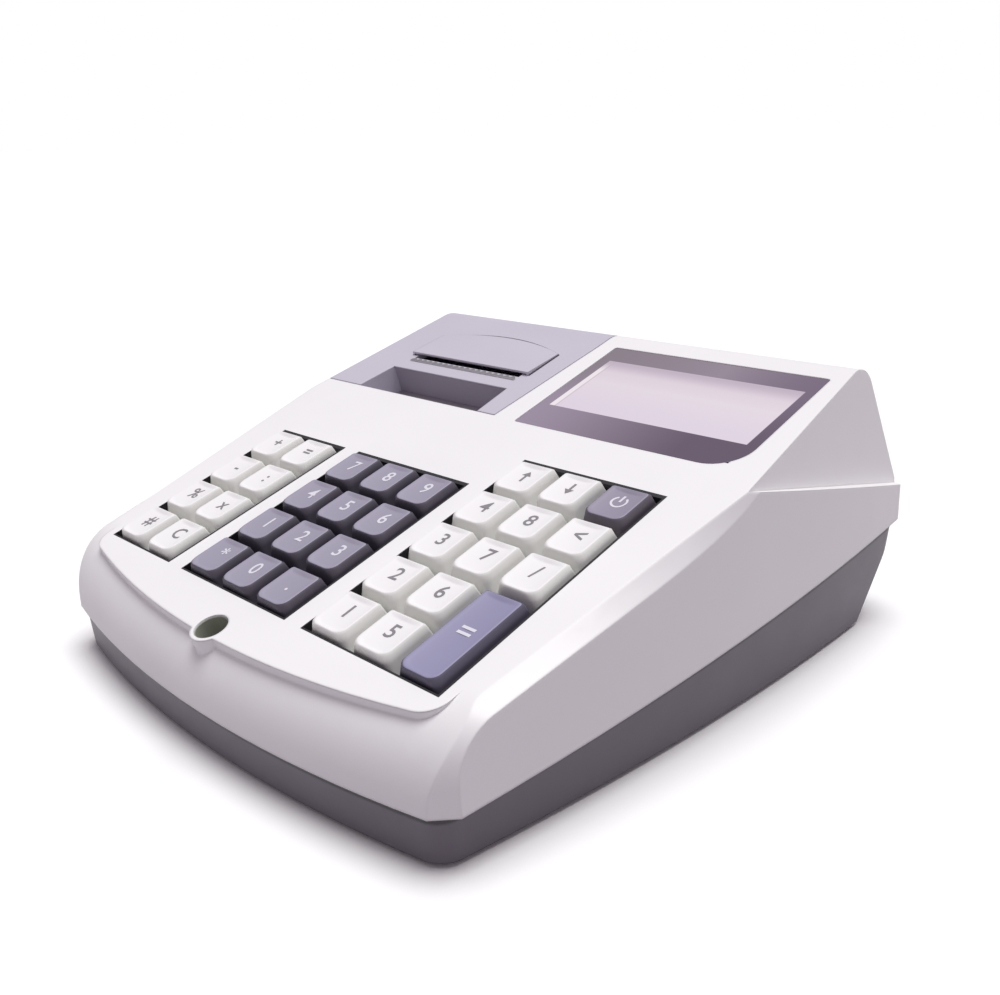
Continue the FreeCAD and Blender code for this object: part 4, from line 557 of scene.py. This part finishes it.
def make_key(node, slots, mark, tall, x, v):
    """One finely shaped cap, one or two keys long, with its middle at a place on the deck."""
    stems = [PITCH * (step - (tall - 1) / 2) for step in range(tall)]
    mesh = build_cap(CAP_BASE + PITCH * (tall - 1), stems)
    size = ARROW_SIZE if len(mark) > 1 else MARK_SIZE
    print_mark(mesh, mark, size * (LONG_MARK_SHARE if tall == 2 else 1), material_index=2)
    data = bpy.data.meshes.new("cap_" + node)
    mesh.to_mesh(data)
    mesh.free()
    data.materials.append(FINISHES[slots[node]])
    # second slot: the lighter copy of the key colour, painted sheen on the top
    data.materials.append(LIT_KEY_TOPS[slots[node]])
    data.materials.append(DARK_INK if slots[node] == "key_white" else PALE_INK)
    cap = bpy.data.objects.new("cap_" + node, data)
    bpy.context.scene.collection.objects.link(cap)
    cap.matrix_world = DECK @ Matrix.Translation((x, v, 0))
    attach(cap, node)
    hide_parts(node)


def make_keys():
    """A cap for every key of the frame."""
    slots = {entry["node"]: entry["material_slot"] for entry in subparts}
    for field, left in key_fields().items():
        for column, marks in enumerate(MARKS[field]):
            for row, mark in enumerate(marks):
                if mark is None:
                    continue
                node = "key_%s_c%d_r%d" % (field, column + 1, row + 1)
                tall = 2 if node == LONG_KEY else 1
                make_key(node, slots, mark, tall, left + PITCH * (column + 0.5),
                         PITCH * (row + tall / 2))


# Thin pieces in the openings of the case: near black sheets of painted shade in the wells and round
# the hood, a darker sheet of painted shade in the finger pocket, and the grey cup of the seal

# near black for painted shade in the key wells and round the hood
SHADE_BLACK = plastic("shade_black", (0.012, 0.011, 0.014), roughness=0.6, edge=0.0)
# darker grey for painted shade in the finger pocket
SHADE_GREY = plastic("pocket_painted_shade", (0.33, 0.30, 0.36), roughness=0.5, edge=0.3)
SEAL_CUP = plastic("seal_cup_grey", (0.36, 0.38, 0.31), roughness=0.45, edge=0.3)


def add_piece(name, mesh, body, material, place=DECK):
    """Turn a bmesh into a piece that rides on a body."""
    bmesh.ops.recalc_face_normals(mesh, faces=mesh.faces)
    data = bpy.data.meshes.new(name)
    mesh.to_mesh(data)
    mesh.free()
    data.materials.append(material)
    piece = bpy.data.objects.new(name, data)
    bpy.context.scene.collection.objects.link(piece)
    piece.matrix_world = place
    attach(piece, body)
    return piece


def tube(mesh, outer, inner, low, high):
    """Upright walls between two closed outlines that have as many points each."""
    rings = [[mesh.verts.new((x, y, level)) for x, y in outline]
             for outline, level in ((outer, low), (outer, high), (inner, high), (inner, low))]
    for ring, after in zip(rings, rings[1:] + rings[:1]):
        for i in range(len(ring)):
            j = (i + 1) % len(ring)
            mesh.faces.new((ring[i], ring[j], after[j], after[i]))


def outline_box(left, right, front, rear, inset=0.0):
    left, right, front, rear = left + inset, right - inset, front + inset, rear - inset
    return [(left, front), (right, front), (right, rear), (left, rear)]


# Insets of the faces of a well's sheet of painted shade, its levels, and how far its rim on the
# deck reaches past the well
WELL_SHADE_OUTER, WELL_SHADE_INNER = 0.01 * MM, 0.24 * MM
WELL_SHADE_LEVELS, SHADE_RIM_LEVELS = (-8.5 * MM, 0.05 * MM), (0.02 * MM, 0.06 * MM)
SHADE_RIM_LEFT, SHADE_RIM_RIGHT, SHADE_RIM_FRONT, SHADE_RIM_REAR = 0.2 * MM, 0.45 * MM, 0.35 * MM, 1.35 * MM


def make_well_shade_sheets():
    """Near black sheets of painted shade in the key wells, each with a thin rim on the deck."""
    for field, left in key_fields().items():
        columns, deep = len(MARKS[field]), len(MARKS[field][0])
        mesh = bmesh.new()
        sides = (left, left + PITCH * columns, 0, PITCH * deep)
        inner = outline_box(*sides, WELL_SHADE_INNER)
        tube(mesh, outline_box(*sides, WELL_SHADE_OUTER), inner, *WELL_SHADE_LEVELS)
        # the painted shade rim is widest behind the last row
        rim = outline_box(left - SHADE_RIM_LEFT, left + PITCH * columns + SHADE_RIM_RIGHT,
                          -SHADE_RIM_FRONT, PITCH * deep + SHADE_RIM_REAR)
        tube(mesh, rim, inner, *SHADE_RIM_LEVELS)
        add_piece("well_shade_sheet_" + field, mesh, "housing", SHADE_BLACK)


# Corners of the pocket's sheet of painted shade in the deck frame, and its floor and rim, in mm
POCKET = ((-79.9, 110.9), (-14.5, 110.9), (-15.8, 127.7), (-78.2, 127.7))
POCKET_LEVELS = (-10.9, -0.35)
POCKET_SKIN = 0.08 * MM


def make_pocket_shade_sheet():
    """Darker sheet of painted shade in the finger pocket, open at the top and at the front."""
    mesh = bmesh.new()
    low, high = [[mesh.verts.new((x * MM, v * MM, level * MM)) for x, v in POCKET]
                 for level in POCKET_LEVELS]
    mesh.faces.new(low)
    for i in range(1, 4):
        j = (i + 1) % 4
        mesh.faces.new((low[i], low[j], high[j], high[i]))
    piece = add_piece("pocket_shade_sheet", mesh, "printer_cover", SHADE_GREY)
    skin = piece.modifiers.new("skin", "SOLIDIFY")
    skin.thickness = POCKET_SKIN
    skin.offset = 0.0


# Sides of the hood in the deck frame, in mm; its curved rear starts at the corner
HOOD_LEFT, HOOD_RIGHT = -77.8, -14.6
HOOD_FRONT, HOOD_CORNER, HOOD_REAR = 138.4, 155.8, 162.0
HOOD_STEPS = 24
GROOVE_INNER, GROOVE_OUTER = -0.05, 0.6
GROOVE_LEVEL = 0.04 * MM


def hood_outline(grow):
    """Outline of the hood from its front left corner round the rear to its front right."""
    left, right, rear = HOOD_LEFT - grow, HOOD_RIGHT + grow, HOOD_REAR + grow
    points = [(left, HOOD_FRONT)]
    half, middle = (right - left) / 2, (left + right) / 2
    rise = rear - HOOD_CORNER
    radius = (half * half + rise * rise) / (2 * rise)
    reach = math.asin(half / radius)
    for step in range(HOOD_STEPS + 1):
        angle = -reach + 2 * reach * step / HOOD_STEPS
        points.append((middle + radius * math.sin(angle), rear - radius + radius * math.cos(angle)))
    points.append((right, HOOD_FRONT))
    return [(x * MM, v * MM) for x, v in points]


def make_hood_shade_strip():
    """Flat near black strip round the sides and the rear of the hood: painted shade of the gap
    there.
    """
    inner, outer = hood_outline(GROOVE_INNER), hood_outline(GROOVE_OUTER)
    mesh = bmesh.new()
    rows = [[mesh.verts.new((x, y, GROOVE_LEVEL)) for x, y in outline]
            for outline in (inner, outer)]
    for i in range(len(inner) - 1):
        mesh.faces.new((rows[0][i], rows[0][i + 1], rows[1][i + 1], rows[1][i]))
    add_piece("hood_shade_strip", mesh, "printer_cover", SHADE_BLACK)


SEAL_FROM_KEYS = 12.7 * MM
CUP_OUTER, CUP_INNER, CUP_STEPS = 4.96 * MM, 4.7 * MM, 40
CUP_LEVELS = (-12.9 * MM, -0.5 * MM)


def make_seal_cup():
    """Grey cup that lines the well of the seal screw."""
    mesh = bmesh.new()
    angles = [math.tau * i / CUP_STEPS for i in range(CUP_STEPS)]
    rims = [[(r * math.cos(angle), r * math.sin(angle)) for angle in angles]
            for r in (CUP_OUTER, CUP_INNER)]
    tube(mesh, *rims, *CUP_LEVELS)
    add_piece("seal_cup", mesh, "housing", SEAL_CUP,
              DECK @ Matrix.Translation((0, -SEAL_FROM_KEYS, 0)))


# Floor, lights and camera

FLOOR_BOUNCE = (0.42, 0.38, 0.42, 1)
WORLD_LIGHT = (0.36, 0.33, 0.36, 1)
SEEN_WHITE = (1, 1, 1, 1)
FLOOR_SIZE = 60.0
SUN_STRENGTH, SUN_ANGLE = 2.42, 36
SUN_DIRECTION = (-0.04, -0.14, -1)
CAMERA_PLACE = (0.24513, -0.23232, 0.16274)
CAMERA_LENS, SENSOR_WIDTH = 38.13, 36.0


def floor_material():
    """White to the camera, a dimmer pale grey to the light that bounces on the object."""
    material, tree, shader = new_material("floor")
    path = add(tree, "ShaderNodeLightPath")
    seen = add(tree, "ShaderNodeMath", operation="MAXIMUM")
    link(tree, path.outputs["Is Camera Ray"], seen.inputs[0])
    link(tree, path.outputs["Is Glossy Ray"], seen.inputs[1])
    mix = add(tree, "ShaderNodeMix", data_type="RGBA")
    mix.inputs["A"].default_value = FLOOR_BOUNCE
    mix.inputs["B"].default_value = SEEN_WHITE
    link(tree, seen.outputs["Value"], mix.inputs["Factor"])
    link(tree, mix.outputs["Result"], shader.inputs["Base Color"])
    shader.inputs["Roughness"].default_value = 1.0
    shader.inputs["Specular IOR Level"].default_value = 0.0
    return material


def make_floor():
    bpy.ops.mesh.primitive_plane_add(size=FLOOR_SIZE, location=(0, 0, 0))
    floor = bpy.context.object
    floor.name = "floor"
    floor.data.materials.append(floor_material())


def make_world():
    world = bpy.data.worlds.new("studio")
    bpy.context.scene.world = world
    world.use_nodes = True
    tree = world.node_tree
    back = tree.nodes["Background"]
    path = add(tree, "ShaderNodeLightPath")
    mix = add(tree, "ShaderNodeMix", data_type="RGBA")
    mix.inputs["A"].default_value = WORLD_LIGHT
    mix.inputs["B"].default_value = SEEN_WHITE
    link(tree, path.outputs["Is Camera Ray"], mix.inputs["Factor"])
    link(tree, mix.outputs["Result"], back.inputs["Color"])


def make_lights():
    sun = bpy.data.lights.new("sky_panel", "SUN")
    sun.energy = SUN_STRENGTH
    sun.angle = math.radians(SUN_ANGLE)
    panel = bpy.data.objects.new("sky_panel", sun)
    bpy.context.scene.collection.objects.link(panel)
    panel.rotation_euler = Vector(SUN_DIRECTION).to_track_quat("-Z", "Y").to_euler()


def make_camera():
    """The camera that was fitted to the key rows and the display outline of the photo."""
    data = bpy.data.cameras.new("camera")
    data.lens = CAMERA_LENS
    data.sensor_width = SENSOR_WIDTH
    data.sensor_fit = "HORIZONTAL"
    data.clip_start = 0.01
    data.clip_end = 200.0
    camera = bpy.data.objects.new("camera", data)
    bpy.context.scene.collection.objects.link(camera)
    right = Vector((0.712413, 0.701317, -0.024943))
    down = Vector((0.211386, -0.248352, -0.945324))
    forward = Vector((-0.669166, 0.668188, -0.325178))
    turn = Matrix((right, -down, -forward)).transposed().to_4x4()
    camera.matrix_world = Matrix.Translation(CAMERA_PLACE) @ turn
    bpy.context.scene.camera = camera


bpy.context.scene.view_settings.view_transform = "Standard"
make_camera()
dress_frame()
make_keys()
make_well_shade_sheets()
make_pocket_shade_sheet()
make_hood_shade_strip()
make_seal_cup()
make_floor()
make_world()
make_lights()
